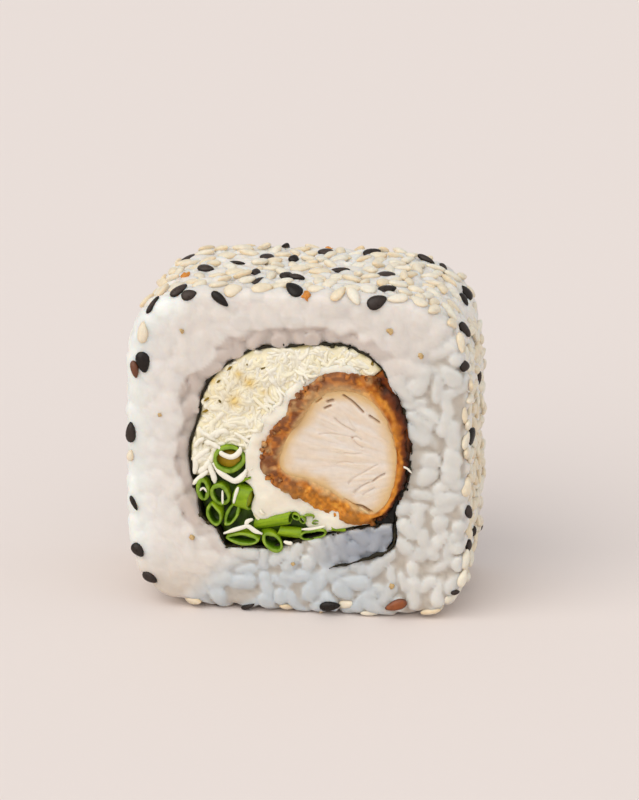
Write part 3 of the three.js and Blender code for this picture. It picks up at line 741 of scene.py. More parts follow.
def make_materials():
    """The materials by name."""
    moist = {"Coat Weight": 0.12, "Coat Roughness": 0.3}
    dull = {"Specular IOR Level": 0.25}
    kinds = {
        "rice": (
            "cooked_rice", {**translucent(0.8, 1.6), **moist}, (1.6, 0.05), (0.45, 0.035), (0.32, 0.5)),
        "sesame_white": (
            "white_sesame", translucent(0.35, 0.5), (0.7, 0.1), (0.3, 0.03), (0.35, 0.55)),
        "sesame_black": (
            "black_sesame", dull, (0.6, 0.3), (0.28, 0.05), (0.24, 0.4)),
        "sesame_toasted": (
            "toasted_sesame", translucent(0.2, 0.4), (0.6, 0.2), (0.3, 0.03), (0.35, 0.5)),
        "nori": (
            "nori_sheet", dull, (0.8, 0.35), (0.4, 0.08), (0.5, 0.75)),
        "crust": (
            "fried_crust", {**translucent(0.15, 0.6), **dull}, (0.5, 0.18), (0.3, 0.08), (0.35, 0.65)),
        "meat": (
            "chicken_meat", translucent(0.5, 1.2), (0.9, 0.05), (0.4, 0.04), (0.4, 0.6)),
        "cream": (
            "cream_cheese", translucent(0.7, 1.4), (1.2, 0.04), (0.6, 0.05), (0.35, 0.5)),
        "grated": (
            "grated_cheese", translucent(0.1, 0.3), (0.7, 0.07), (0.4, 0.04), (0.4, 0.6)),
        "chives": (
            "chopped_chives", {**translucent(0.2, 0.5), **dull}, (0.5, 0.12), (0.35, 0.03), (0.3, 0.5)),
        "crumb": (
            "crust_crumb", translucent(0.3, 0.4), (0.3, 0.2), (0.2, 0.05), (0.4, 0.6)),
    }
    return {kind: tinted_material(*values) for kind, values in kinds.items()}


# Rice

def ring_share(x, z):
    """How far a place in a cut face is in the scalloped ring of sunken grains round the nori."""
    scallops = RING["scallop"] * noise(x, 0, z, RING["lump"], 40)
    scallops = scallops + RING["nick"] * noise(x, 0, z, RING["small"], 41)
    share = 1 - smoothstep(RING["start"], RING["end"], loop_gap(x, z) + scallops)
    across = x - RING_MIDDLE[0]
    upward = z - RING_MIDDLE[1]
    opening = (across * RING_OPEN[0] + upward * RING_OPEN[1]) / (np.hypot(across, upward) + 0.01)
    return share * smoothstep(*RING_ENDS, opening)


def face_sink(x, z, side):
    """How far a cut face lies behind its plane: a ring of sunken grains round the nori, and slow waves."""
    waves = FACE_WAVES["height"] * (1 + noise(x, 0, z, FACE_WAVES["size"], 45 + side))
    return RING["sink"] * ring_share(x, z) + waves


def envelope(x, y, z):
    """Distance outside the rice's outline, with its rounded edges, cut faces and the flat spot below."""
    past_side = side_distance(x, z) + EDGE_RADIUS
    past_end = np.abs(y) - (FACE - EDGE_RADIUS)
    corner = np.hypot(np.maximum(past_side, 0), np.maximum(past_end, 0))
    outer = corner + np.minimum(np.maximum(past_side, past_end), 0) - EDGE_RADIUS
    ends = np.maximum(face_sink(x, z, FRONT) - FACE - y, face_sink(x, z, BACK) - FACE + y)
    return smooth_max(smooth_max(outer, ends, SEAMS["face"]), -z, SEAMS["foot"])


def rice_shares(x, y, z):
    """How much of each kind of rice there is at a place."""
    face = smoothstep(*RICE_FACE, np.abs(y))
    ring = face * ring_share(x, z)
    loose = (face - ring) * smoothstep(*LOOSE_FROM, x + LOOSE_SLANT * (MIDDLE - z))
    return {"wall": 1 - face, "ring": ring, "loose": loose, "smear": face - ring - loose}


def weighted(shares, quality, part=None):
    """A quality of the rice, averaged over its kinds."""
    total = 0.0
    for kind, share in shares.items():
        value = RICE_KINDS[kind][quality]
        total = total + share * (value if part is None else value[part])
    return total


def envelope_normals(points):
    steps = np.eye(3) * 0.2
    slopes = [envelope(*(points + step).T) - envelope(*(points - step).T) for step in steps]
    return unit(np.stack(slopes, axis=1) + 1e-9)


def spaced(points, spacing):
    """The points that keep their distance from all that come before them."""
    kept = np.empty_like(points)
    count = 0
    for point in points:
        if count and ((kept[:count] - point) ** 2).sum(axis=1).min() < spacing ** 2:
            continue
        kept[count] = point
        count += 1
    return kept[:count]


def rice_grains():
    """Grains under the surface: middle, direction, half length, radius and paleness of each."""
    rng = np.random.default_rng(GRAIN["seed"])
    spots = rng.uniform((-WIDTH / 2, -FACE, 0), (WIDTH / 2, FACE, HEIGHT), (GRAIN["tries"], 3))
    x, y, z = spots.T
    depth = -envelope(x, y, z)
    gap = np.minimum(loop_gap(x, z), line_distance(x, z, tail_line))
    fits = (depth > GRAIN["shallow"]) & (depth < GRAIN["deep"]) & (gap > GRAIN["clear"])
    fits &= noise(x, y, z, POCKET["size"], 44) < POCKET["from"]
    spots = spaced(spots[fits], GRAIN["spacing"])
    count = len(spots)
    normals = envelope_normals(spots)
    lying = rng.normal(size=(count, 3))
    lying -= (1 - GRAIN_UPRIGHT) * np.einsum("ij,ij->i", lying, normals)[:, None] * normals
    radius = rng.uniform(*GRAIN_RADIUS, count)
    shares = rice_shares(*spots.T)
    low = weighted(shares, "reach", 0)
    high = weighted(shares, "reach", 1)
    reach = low + (high - low) * rng.uniform(size=count)
    rise = -envelope(*spots.T) - radius + reach
    return {
        "middle": spots + normals * rise[:, None],
        "along": unit(lying),
        "half": rng.uniform(*GRAIN_HALF_LENGTH, count),
        "radius": radius,
        "pale": rng.uniform(size=count),
    }


def rice_arrays():
    """Rice as grains on a packed core, cut at the faces, hollow for the filling and slit for the nori."""
    low = np.array((-WIDTH / 2 - 1, -FACE - 1, -1))
    high = -low + (0, 0, HEIGHT)
    x, y, z = grid_axes(low, high, RICE_VOXEL)
    limit = envelope(x, y, z)
    shares = rice_shares(x, y, z)
    paleness = np.full(limit.shape, 0.5, np.float32)
    nearest = np.full(limit.shape, 9.0)
    second = np.full(limit.shape, 9.0)
    grains = rice_grains()
    for middle, along, half, radius, pale in zip(*grains.values()):
        reach = half + radius + CREASE_WIDTH
        first = np.maximum(((middle - reach - low) / RICE_VOXEL).astype(int), 0)
        last = ((middle + reach - low) / RICE_VOXEL).astype(int) + 2
        window = tuple(slice(a, b) for a, b in zip(first, last))
        dx = x[window[0]] - middle[0]
        dy = y[:, window[1]] - middle[1]
        dz = z[:, :, window[2]] - middle[2]
        travel = np.clip(dx * along[0] + dy * along[1] + dz * along[2], -half, half)
        off = [delta - travel * part for delta, part in zip((dx, dy, dz), along)]
        distance = np.sqrt(off[0] ** 2 + off[1] ** 2 + off[2] ** 2) - radius
        closest = nearest[window]
        paleness[window] = np.where(distance < closest, pale, paleness[window])
        second[window] = np.minimum(second[window], np.maximum(distance, closest))
        nearest[window] = np.minimum(closest, distance)
    crease = 1 - smoothstep(0, CREASE_WIDTH, second - nearest)
    field = smooth_min(limit + weighted(shares, "inset"), nearest, weighted(shares, "blend"))
    field = smooth_max(field, limit, SEAMS["grain"]) + crease * weighted(shares, "crease")
    lumps = smoothstep(*RICE_LEAN["lumps"], noise(x, 0, z, RICE_LEAN["lump"], 48))
    lean = smoothstep(*RICE_LEAN["depth"], np.abs(y)) * lumps * smoothstep(*RICE_LEAN["above"], z)
    by_end = smoothstep(*LOOP_END["right"], x) * smoothstep(*LOOP_END["below"], z)
    rough = LOOP_END["rough"] * by_end * noise(x, 0, z, LOOP_END["lump"], 49)
    clear = RICE_CLEAR["loop"] - RICE_LEAN["most"] * lean + rough
    field = np.maximum(field, clear - loop_gap(x, z))
    closed = smoothstep(*TAIL_CLOSED["depth"], np.abs(y)) * smoothstep(*TAIL_CLOSED["left"], x)
    slit = RICE_CLEAR["tail"] * (1 - closed)
    field = np.maximum(field, slit - line_distance(x, z, tail_line))
    field = np.maximum(field, -z)
    points, triangles = skin(field, low, RICE_VOXEL)
    cell = tuple(np.rint((points - low) / RICE_VOXEL).astype(int).T)
    return points, triangles, rice_tint(points, paleness[cell])


def rice_tint(points, paleness):
    """Warm where the knife smeared the grains, cool where they are loose, grey in the ring and in gaps.

    Painted light makes the left and its edge lighter. Painted shade darkens the bottom and the gaps, and is
    part of the cool loose grains, the grey ring and the blue pocket by the tail.
    """
    x, y, z = points.T
    shares = rice_shares(x, y, z)
    loose = shares["loose"]

    def fade(name, value):
        return smoothstep(*RICE_FADE[name], value)

    begin = GAP_SHADE_DEPTH["begin"] - GAP_SHADE_DEPTH["begin_less"] * loose
    end = GAP_SHADE_DEPTH["end"] - GAP_SHADE_DEPTH["end_less"] * loose
    gap_shade = smoothstep(begin, end, -envelope(x, y, z))
    # Painted light: lighter towards the left
    tint = blend_colours(RICE_WARM, RICE_LIT_LEFT, fade("left", x))
    # Painted light along the upper left edge of the cut face
    rim = fade("edge", side_distance(x, z)) * fade("edge_left", x) * fade("edge_up", z)
    tint = blend_colours(tint, RICE_LIT_EDGE, rim)
    # Painted shade: the smeared rice darker towards its foot
    tint = blend_colours(tint, RICE_SHADED_FOOT, shares["smear"] * fade("foot", z))
    # Loose grains cooler: their own tone and painted shade
    tint = blend_colours(tint, RICE_COOL_SHADED, loose)
    # Painted shade: the loose rice darker towards the bottom
    tint = blend_colours(tint, RICE_SHADED_LOW, loose * fade("low", z) * fade("low_left", x))
    tint = blend_colours(tint, RICE_WALL, shares["wall"])
    # The ring: its own greyer tone and painted shade
    tint = blend_colours(tint, RICE_RING_SHADED, RICE_SHADES["ring"] * shares["ring"])
    # Painted shade: darker the deeper a place lies in a gap, less on the wall
    dark = RICE_SHADES["gap"] - RICE_SHADES["gap_less_on_wall"] * shares["wall"]
    tint = blend_colours(tint, RICE_GAP_SHADE, dark * gap_shade)
    # The pocket by the tail: bluish rice and painted shade
    by_tail = 1 - fade("pocket", outline_distance(x, z, pocket_line))
    tint = blend_colours(tint, RICE_BLUE_SHADED, RICE_SHADES["blue"] * by_tail * fade("pocket_right", x))
    return tint * (GRAIN_SHADE[0] + GRAIN_SHADE[1] * paleness)[:, None]


# Sesame

def seed_shape():
    """One sesame seed of unit size: a flat drop along x."""
    turns = full_turn(SEED_SIDES)
    steps = np.arange(1, SEED_RINGS) / SEED_RINGS * math.pi
    x = -0.5 * np.cos(steps)[:, None] * np.ones(SEED_SIDES)
    girth = 0.5 * np.sin(steps)[:, None]
    y = girth * np.cos(turns) * (1 - 2 * SEED["taper"] * x)
    z = girth * np.sin(turns)
    points = np.stack([x, y, z], axis=-1).reshape(-1, 3)
    points = np.vstack([points, (-0.5, 0, 0), (0.5, 0, 0)])
    return points, closed_net(SEED_RINGS - 1, SEED_SIDES)


def seed_place(k):
    """The k-th try at a seed's place on the outside and its normal, or None where the cover is too thin."""
    angle = chance(k, 7) * 2 * math.pi
    c = math.cos(angle)
    s = math.sin(angle)
    radius, normal_x, normal_z = (float(value) for value in rim_at(c, s))
    stretch = radius / (normal_x * c + normal_z * s) / SEED_REACH
    wanted = SEED_COVER["level"] + SEED_COVER["upward"] * normal_z + SEED_COVER["rightward"] * normal_x
    cover = min(1, max(SEED_COVER["least"], wanted))
    if chance(k, 2) > cover * stretch:
        return None
    arc = math.pi / 2 * EDGE_RADIUS
    wall = DEPTH - 2 * EDGE_RADIUS
    travel = SEED_MARGIN + chance(k, 8) * (wall + 2 * arc - 2 * SEED_MARGIN)
    side = FRONT if travel < arc + wall / 2 else BACK
    from_rim = travel if side == FRONT else wall + 2 * arc - travel
    lean = min(from_rim / EDGE_RADIUS, math.pi / 2)
    out = math.sin(lean) * EDGE_RADIUS - EDGE_RADIUS
    wall_y = side * (wall / 2 - max(0, from_rim - arc))
    x = radius * c + normal_x * out
    y = wall_y + side * math.cos(lean) * EDGE_RADIUS
    z = MIDDLE + radius * s + normal_z * out
    normal = (normal_x * math.sin(lean), side * math.cos(lean), normal_z * math.sin(lean))
    return np.array((x, y, z)), np.array(normal)


def camera_axes():
    """Unit vectors from the target to the camera, to the right and up in the picture."""
    a = math.radians(AZIMUTH)
    e = math.radians(ELEVATION)
    back = np.array((math.sin(a) * math.cos(e), -math.cos(a) * math.cos(e), math.sin(e)))
    right = np.array((math.cos(a), math.sin(a), 0))
    return back, right, np.cross(back, right)


def pixel_ray(pixel):
    """The camera's place and the direction in which it sees a pixel of the photograph."""
    back, right, up = camera_axes()
    across = (pixel[0] - TARGET_PIXEL[0]) / PIXELS_PER_MM
    upward = (TARGET_PIXEL[1] - pixel[1]) / PIXELS_PER_MM
    ray = across * right + upward * up - back * CAMERA_DISTANCE
    return np.array(TARGET) + back * CAMERA_DISTANCE, unit(ray)


class Seeder:
    """Lays sesame on the rice, each seed clear of those laid before it."""

    def __init__(self, rice):
        points, triangles, _ = rice
        self.tree = BVHTree.FromPolygons(points.tolist(), triangles.tolist())
        self.heaps = {"white": Heap(), "black": Heap(), "toasted": Heap()}
        self.shape, self.triangles = seed_shape()
        self.places = []

    def is_clear(self, place, spacing):
        return all(math.dist(place, other) >= spacing for other in self.places)

    def lay(self, k, kind, place, normal, facing, direction, sizes):
        """One seed on the rice under a place, by the way it faces, its direction and its sizes."""
        above = Vector(place + SEED_SEARCH * normal)
        hit, _, _, _ = self.tree.ray_cast(above, Vector(-normal), 2 * SEED_SEARCH)
        seat = np.array(hit) if hit else place
        self.places.append(place)
        up = unit(facing)
        along = unit(np.cross(np.cross(up, direction), up))
        axes = np.stack([along, np.cross(up, along), up])
        low, high = SEED_LIFT[kind]
        middle = seat + up * SEED["thickness"] * (low + (high - low) * chance(k, 15))
        points = self.shape * (*sizes, SEED["thickness"]) @ axes + middle
        points[:, 2] -= min(0, points[:, 2].min())
        self.heaps[kind].add(points, self.triangles, seed_tint(k, kind, self.shape, normal[0]))

    def lay_seen(self, kind, spots, first):
        """Seeds at pixels of the photograph, turned as they are there."""
        back, right, up = camera_axes()
        for k, (px, py, turn, *sizes) in enumerate(spots, first):
            origin, ray = pixel_ray((px, py))
            hit, _, _, _ = self.tree.ray_cast(Vector(origin), Vector(ray))
            if hit is None:
                continue
            slope = envelope_normals(np.array([hit]))[0]
            facing = unit(slope + SEED_FACING * back)
            along = right * math.cos(math.radians(turn)) + up * math.sin(math.radians(turn))
            along = along - back * (along @ facing) / max(SEED_LEAST_FACING, back @ facing)
            self.lay(k, kind, np.array(hit), slope, facing, along, sizes)

    def lay_spread(self):
        """The seeds of the part's solid first, and then more between them."""
        back, _, _ = camera_axes()
        seen = list(self.places)
        solid = []
        tries = [(k, seed_place(k)) for k in range(MORE_SEEDS["tries"])]
        tries = [(k, *place) for k, place in tries if place]
        for k, place, normal in tries:
            if len(solid) == SOLID_SEEDS["count"]:
                break
            if all(math.dist(place, other) >= SOLID_SEEDS["spacing"] for _, other, _ in solid):
                solid.append((k, place, normal))
        for k, place, normal in solid + tries:
            if len(self.places) >= MORE_SEEDS["count"]:
                break
            left = smoothstep(*MORE_SEEDS["left"], place[0])
            spacing = MORE_SEEDS["spacing"] + MORE_SEEDS["wider_on_left"] * left
            if not self.is_clear(place, spacing) or looks_forward(normal):
                continue
            if normal[0] < BARE_EDGE["left"] and place[1] < BARE_EDGE["front"]:
                continue
            right = smoothstep(*MORE_SEEDS["right"], normal[0])
            clear = MORE_SEEDS["from_seen"] + MORE_SEEDS["clear_on_right"] * right
            if any(math.dist(place, other) < clear for other in seen):
                continue
            draw = chance(k, 11)
            hidden = normal @ back < BLACK_UNSEEN
            kind = "black" if hidden and draw < BLACK_SHARE else "white"
            kind = "toasted" if hidden and draw > 1 - TOASTED_SHARE else kind
            self.lay(k, kind, place, normal, *self.chances(k, normal))

    def chances(self, k, normal):
        """The way the k-th seed faces, its direction, and its length and width, all at random."""
        tilt = SEED_TILT * np.array([chance(k, quality) - 0.5 for quality in (12, 13, 14)])
        turn = chance(k, 4) * 2 * math.pi
        size = 1 + SEED["spread"] * (chance(k, 3) - 0.5)
        slim = 1 - SEED["slim"] * chance(k, 17)
        sizes = (SEED["length"] * size, SEED["width"] * size * slim)
        return normal + tilt, (math.cos(turn), math.sin(turn), 0.3), sizes


def looks_forward(normal):
    """Whether a seed would lie too far round the edge of a cut face, which has fewer on the right."""
    right = max(0, normal[0]) / math.hypot(normal[0], normal[2])
    return abs(normal[1]) > SEED_FORWARD["most"] - SEED_FORWARD["less_on_right"] * right


def seed_tint(k, kind, shape, rightward):
    """Colours at a seed's points: golden round the rim if it is white, dark there if it is toasted.

    Black seeds get a painted sheen away from the rim. A white seed's golden rim is partly painted shade,
    and painted light makes it weaker on seeds that face right.
    """
    share = chance(k, 16)
    rim = 1 - smoothstep(*SEED_RIM, np.abs(shape[:, 2]))
    if kind == "black":
        # Painted sheen: lighter away from the rim
        least, more = SEED_SHADES["grey"]
        return blend_colours(SESAME_BLACK, SESAME_SHEEN, (least + more * share) * (1 - rim))
    if kind == "toasted":
        round_rim, over = SEED_SHADES["brown"]
        return blend_colours(SESAME_TOASTED, SESAME_BROWN, np.maximum(round_rim * rim, over * share))
    # The golden rim is partly painted shade; painted light makes it weaker on seeds that face right
    least, more = SEED_SHADES["gold"]
    gold = (least + more * share) * (1 - SEED_SHADES["less_on_right"] * max(0, rightward)) * rim
    return blend_colours(blend_colours(SESAME_PALE, SESAME_DEEP, share), SESAME_RIM_AND_SHADE, gold)


# Nori

def nori_arrays():
    """The sheet swept along its line, with ragged edges, and flakes of it along both cut faces."""
    heap = Heap()
    line = smooth(NORI_LOOP + NORI_TAIL, False, FINE_STEPS)
    count = len(line)
    tangent = unit(np.gradient(line, axis=0))
    aside = np.stack([tangent[:, 1], -tangent[:, 0]], axis=1)
    travel = np.arange(count) * NORI_STEP
    levels = np.concatenate([-NORI_LEVELS[::-1], [0], NORI_LEVELS])
    section = [(1, level) for level in levels] + [(-1, level) for level in levels[::-1]]
    tail = smoothstep(*TAIL_FROM, np.linspace(0, 1, count))
    fold = tail * np.exp(-((line[:, 0] - NORI_FOLD["x"]) / NORI_FOLD["reach"]) ** 2)
    last = smoothstep(count - TAIL_THIN["last"], count - 1, np.arange(count))
    thickness = 1 - TAIL_THIN["all"] * tail + NORI_FOLD["thick"] * fold
    thickness = thickness * (1 - TAIL_THIN["end"] * last)
    behind = NORI_BEHIND * (1 - TAIL_FORWARD * tail)
    rows = []
    for side, level in section:
        ragged = NORI_RAGGED["most"] - NORI_RAGGED["less_on_tail"] * tail
        ragged = ragged * noise(travel, side, level > 0, NORI_RAGGED["size"], 61) - NORI_RAGGED["back"]
        by_edge = smoothstep(NORI_RAGGED["from"], 1, abs(level))
        y = level * (FACE - behind) + np.sign(level) * ragged * by_edge
        uneven = NORI_UNEVEN["middle"] + NORI_UNEVEN["by"] * noise(travel, y, side, NORI_UNEVEN["size"], 62)
        thick = NORI_THICKNESS / 2 * thickness * uneven
        wander = NORI_WANDER["by"] * noise(travel, y * NORI_WANDER["stretch"], 0, NORI_WANDER["size"], 63)
        place = line + aside * (side * thick + wander)[:, None]
        rows.append(np.stack([place[:, 0], y, place[:, 1]], axis=1))
    points = np.stack(rows, axis=1).reshape(-1, 3)
    width = len(section)
    net = grid_triangles(count, width, close_columns=True)
    ring = np.arange(width)
    caps = []
    for first in (0, (count - 1) * width):
        caps.append(np.stack([np.full(width - 2, first), first + ring[1:-1], first + ring[2:]], axis=1))
    triangles = np.vstack([net, caps[0][:, ::-1], caps[1]])
    shade = 0.5 + 0.5 * noise(*points.T, 0.7, 64)
    heap.add(points, triangles, blend_colours(NORI_DARK, NORI_LIGHT, shade * 0.6))
    rng = np.random.default_rng(NORI_FLAKES["seed"])
    shape, faces = seed_shape()
    for side, at in itertools.product((FRONT, BACK), rng.integers(4, count - 4, NORI_FLAKES["count"])):
        size = rng.uniform(*NORI_FLAKES["size"])
        x, z = line[at] + aside[at] * rng.uniform(*NORI_FLAKES["aside"])
        y = side * (FACE - NORI_BEHIND + rng.uniform(*NORI_FLAKES["out"]))
        sizes = (size, size * NORI_FLAKES["slim"], NORI_FLAKES["thick"])
        flake = uneven_bit(shape, sizes, rng) + (x, y, z)
        heap.add(flake, faces, blend_colours(NORI_DARK, NORI_LIGHT, rng.uniform(*NORI_FLAKES["shade"])))
    # A dark slab in the gap between crust and nori on the right: partly nori, partly painted shadow
    points, triangles = slab(shaded_lining_region, LINING_FACE, LINING_WAVES, 66)
    fried = smoothstep(*LINING_FRIED, points[:, 2] + noise(*points.T, 2, 67))
    crust = blend_colours(CRUST_DARK_AND_SHADE, CRUST_BROWN, 0.2 + 0.4 * noise(*points.T, 0.6, 68))
    heap.add(points, triangles, NORI_DARK + (crust - NORI_DARK) * fried[:, None])
    return heap.arrays()


def uneven_bit(shape, sizes, rng):
    """A seed's shape as an uneven bit of some size, turned at random."""
    uneven = 1 + 0.45 * noise(*(shape * 4).T, 1, rng.integers(999))
    axes = np.linalg.qr(rng.normal(size=(3, 3)))[0]
    return shape * uneven[:, None] * sizes @ axes


def lining_side(x, z):
    """Negative to the right of the filling and below the end of the grated cheese."""
    across = x - LINING_FROM[0]
    return np.maximum(-across, z - LINING_FROM[1] - LINING_SLOPE * across)


def shaded_lining_region(x, z):
    """The dark gap between the crust and the nori on the right, where the sheet is creased: a dark slab that
    is partly nori and partly painted shadow.
    """
    region = np.maximum(filling_room(x, z) - 0.2, -outline_distance(x, z, chicken_line) - 0.5)
    return np.maximum(region, lining_side(x, z))


# Chicken

def polar_reach(outline, angles):
    """How far a closed outline is from the chicken's middle in each direction."""
    line = smooth(outline, True, FINE_STEPS) - np.array(CHICKEN_MIDDLE)
    found = np.arctan2(line[:, 1], line[:, 0])
    return np.interp(angles, found, np.hypot(*line.T), period=2 * math.pi)


def net_normals(net):
    """Normals of a net of points that closes on itself both ways."""
    down = np.roll(net, -1, axis=0) - np.roll(net, 1, axis=0)
    over = np.roll(net, -1, axis=1) - np.roll(net, 1, axis=1)
    return unit(np.cross(down, over) + 1e-9)


def crust_arrays():
    """Fried crust round the meat: a closed band whose faces and outside are craggy, and crumbs on it."""
    angles = full_turn(CRUST_AROUND)
    inner = polar_reach(MEAT_OUTLINE, angles)
    outer = polar_reach(CHICKEN_OUTLINE, angles) + 0.1
    shares = np.linspace(0, 1, CRUST_FACE_ROWS)
    depths = 0.2 - 0.3 * smoothstep(0, 0.5, shares) + 0.35 * smoothstep(0.75, 1, shares)
    face = [(share, depth, 1) for share, depth in zip(shares, depths)]
    wall = [(1, depth, 1) for depth in CRUST_WALL_ROWS]
    front = CRUST_BEHIND + face + wall
    section = [(across, -FACE + depth, rough) for across, depth, rough in front]
    section += [(across, -y, rough) for across, y, rough in section[-2::-1]]
    across, y, rough = np.array(section).T
    radius = inner[:, None] + (outer - inner)[:, None] * across
    x = CHICKEN_MIDDLE[0] + radius * np.cos(angles)[:, None]
    z = CHICKEN_MIDDLE[1] + radius * np.sin(angles)[:, None]
    right = smoothstep(*CRUST_SIDES["right"], x - CHICKEN_MIDDLE[0]) * smoothstep(0.5, 1, across)
    slump = CRUST_SLUMP * right * (1 - smoothstep(0, 4, FACE - np.abs(y)))
    net = np.stack([x, y - np.sign(y) * slump, z], axis=-1)
    triangles = facing_out(net.reshape(-1, 3), grid_triangles(*x.shape, True, True))
    place = np.moveaxis(net, -1, 0)
    crag = sum(height * noise(*place, size, seed) for height, size, seed in CRUST_LUMPS)
    crag = crag * (0.95 + 0.5 * noise(*place, 3.3, 78)) + 0.25 * (0.5 - 2 * np.abs(noise(*place, 1.4, 79)))
    crag = crag + 0.5 * right * noise(*place, 0.7, 80)
    height = CRUST_CRAGS * (crag - 0.15) * rough * smoothstep(-0.05, 0.3, across)
    points = net + net_normals(net) * height[..., None] * (-1 if triangles[0, 0] == 0 else 1)
    heap = Heap()
    heap.add(points.reshape(-1, 3), triangles, crust_tint(points, crag, across).reshape(-1, 3))
    rng = np.random.default_rng(CRUST_CRUMBS["seed"])
    shape, faces = seed_shape()
    for side, _ in itertools.product((FRONT, BACK), range(CRUST_CRUMBS["count"])):
        angle = rng.uniform(0, 2 * math.pi)
        across = rng.uniform(*CRUST_CRUMBS["across"])
        inner, outer = (float(polar_reach(outline, angle)) for outline in (MEAT_OUTLINE, CHICKEN_OUTLINE))
        reach = inner + (outer - inner) * across
        x = CHICKEN_MIDDLE[0] + math.cos(angle) * reach
        z = CHICKEN_MIDDLE[1] + math.sin(angle) * reach
        slump = CRUST_SLUMP * smoothstep(*CRUST_SIDES["right"], x - CHICKEN_MIDDLE[0])
        y = side * (FACE - slump - rng.uniform(*CRUST_CRUMBS["behind"]))
        sizes = rng.uniform(*CRUST_CRUMBS["size"]) * np.array(CRUST_CRUMBS["slim"])
        bit = uneven_bit(shape, sizes, rng) + (x, y, z)
        crag = np.full(len(bit), rng.uniform(*CRUST_CRUMBS["crag"]))
        heap.add(bit, faces, crust_tint(bit, crag, across))
    return heap.arrays()


def crust_tint(points, crag, across):
    """Gold on the crags and brown between them, tan towards the meat and by sides as it was fried.

    The gold on the crags is partly painted highlight and the dark between them partly painted shade. On the
    right, a gold ridge is partly painted highlight and the dark outer edge partly painted shade.
    """
    x, y, z = np.moveaxis(points, -1, 0)
    right = smoothstep(*CRUST_SIDES["right"], x - CHICKEN_MIDDLE[0])
    left = smoothstep(*CRUST_SIDES["left"], x - CHICKEN_MIDDLE[0])
    above = smoothstep(*CRUST_SIDES["above"], z - CHICKEN_MIDDLE[1]) * (1 - right)
    # Raised crags take gold as painted highlight and hollows dark brown as painted shade, with random flecks
    fleck_and_crag_shade = crag + 0.95 * noise(x, y, z, 0.55, 75) + 0.4 * noise(x, y, z, 2.4, 76)
    fleck_and_crag_shade = fleck_and_crag_shade - 0.3 * (left + above)
    tint = blend_colours(CRUST_BROWN, CRUST_GOLD_AND_HIGHLIGHT, smoothstep(0.2, 0.75, fleck_and_crag_shade))
    tint = blend_colours(tint, CRUST_DARK_AND_SHADE, 0.85 * smoothstep(-0.05, -0.5, fleck_and_crag_shade))
    tint = blend_colours(tint, CRUST_FRIED, 0.65 * right)
    below = smoothstep(*CRUST_SIDES["below"], z - CHICKEN_MIDDLE[1]) * (1 - right)
    tint = blend_colours(tint, CRUST_GOLD_AND_HIGHLIGHT, 0.36 * below)
    # On the right: a gold ridge, partly painted highlight, and a dark outer edge, partly painted shade
    streak = noise(x, y, z, 0.8, 69)
    ragged = across + 0.13 * streak + 0.1 * noise(x, y, z, 1.9, 70)
    ridge = np.exp(-((ragged - CRUST_RIDGE[0]) / CRUST_RIDGE[1]) ** 2)
    tint = blend_colours(tint, CRUST_GOLD_AND_HIGHLIGHT, (0.45 + 0.4 * streak) * right * ridge)
    tint = blend_colours(tint, CRUST_DARK_AND_SHADE, 0.9 * right * smoothstep(0.46, 0.62, ragged))
    tint = blend_colours(tint, CRUST_BURNT_AND_SHADE, 0.9 * right * smoothstep(0.62, 0.8, ragged))
    dull = np.maximum(above * smoothstep(4, 0, x - CHICKEN_MIDDLE[0]), 0.7 * left)
    tint = blend_colours(tint, CRUST_DULL, 0.4 * dull)
    reach = 0.35 + 0.35 * above - 0.15 * right
    pale = (0.85 - 0.3 * right) * (1 - smoothstep(0.02, reach, across + 0.2 * crag))
    spots = 0.5 * np.maximum(left, above) * smoothstep(0.1, 0.6, noise(x, y, z, 0.9, 77))
    return blend_colours(tint, CRUST_TAN, np.maximum(pale, spots))


def meat_arrays():
    """Pale meat that fills the crust, with fibres and slits in both cut faces."""
    angles = full_turn(MEAT_AROUND)
    reach = polar_reach(MEAT_OUTLINE, angles) + MEAT_OVERLAP
    shares = np.linspace(0, 1, MEAT_ROWS)[1:]
    rows = []
    tints = []
    for side in (FRONT, BACK):
        x = CHICKEN_MIDDLE[0] + shares[:, None] * reach * np.cos(angles)
        z = CHICKEN_MIDDLE[1] + shares[:, None] * reach * np.sin(angles)
        from_origin = np.hypot(x - FIBRE_ORIGIN[0], z - FIBRE_ORIGIN[1])
        bearing = np.arctan2(z - FIBRE_ORIGIN[1], FIBRE_ORIGIN[0] - x) * FIBRES
        fibre = noise(bearing * 2, from_origin * 0.35, 0, 1, 81 + side)
        fibre = fibre + 0.6 * noise(bearing * 5, from_origin * 0.6, 0, 1, 84 + side)
        rim = (1 - shares)[:, None] * reach
        depth = 0.12 - 0.05 * fibre
        cut = np.zeros_like(x)
        for deep, half, line in MEAT_SLITS:
            mouth = np.exp(-(line_distance(x, z, smooth(line, False, LINE_STEPS)) / half) ** 2)
            depth = depth + deep * mouth
            cut = np.maximum(cut, mouth * smoothstep(0, 0.9, deep))
        tint = blend_colours(MEAT_PALE, MEAT_TAN, 0.15 + 0.18 * fibre)
        fried = 1 - smoothstep(0.1, 2.4, rim + 0.5 * noise(x, 0, z, 1.4, 87))
        tint = blend_colours(tint, MEAT_TAN, fried)
        tint = blend_colours(tint, CRUST_TAN, 1 - smoothstep(0.1, 0.9, rim))
        # Painted shade: deeper slits are darker
        tint = blend_colours(tint, MEAT_SLIT_SHADE, 0.9 * cut)
        rows.append(np.stack([x, side * (FACE - depth), z], axis=-1))
        tints.append(tint)
    net = np.concatenate([rows[0], rows[1][::-1]])
    colours = np.concatenate([tints[0], tints[1][::-1]])
    tips = net[[0, -1]].mean(axis=1)
    points = np.vstack([net.reshape(-1, 3), tips])
    tint = np.vstack([colours.reshape(-1, 3), colours[[0, -1]].mean(axis=1)])
    heap = Heap()
    heap.add(points, closed_net(len(net), MEAT_AROUND), tint)
    return heap.arrays()


# Cheese

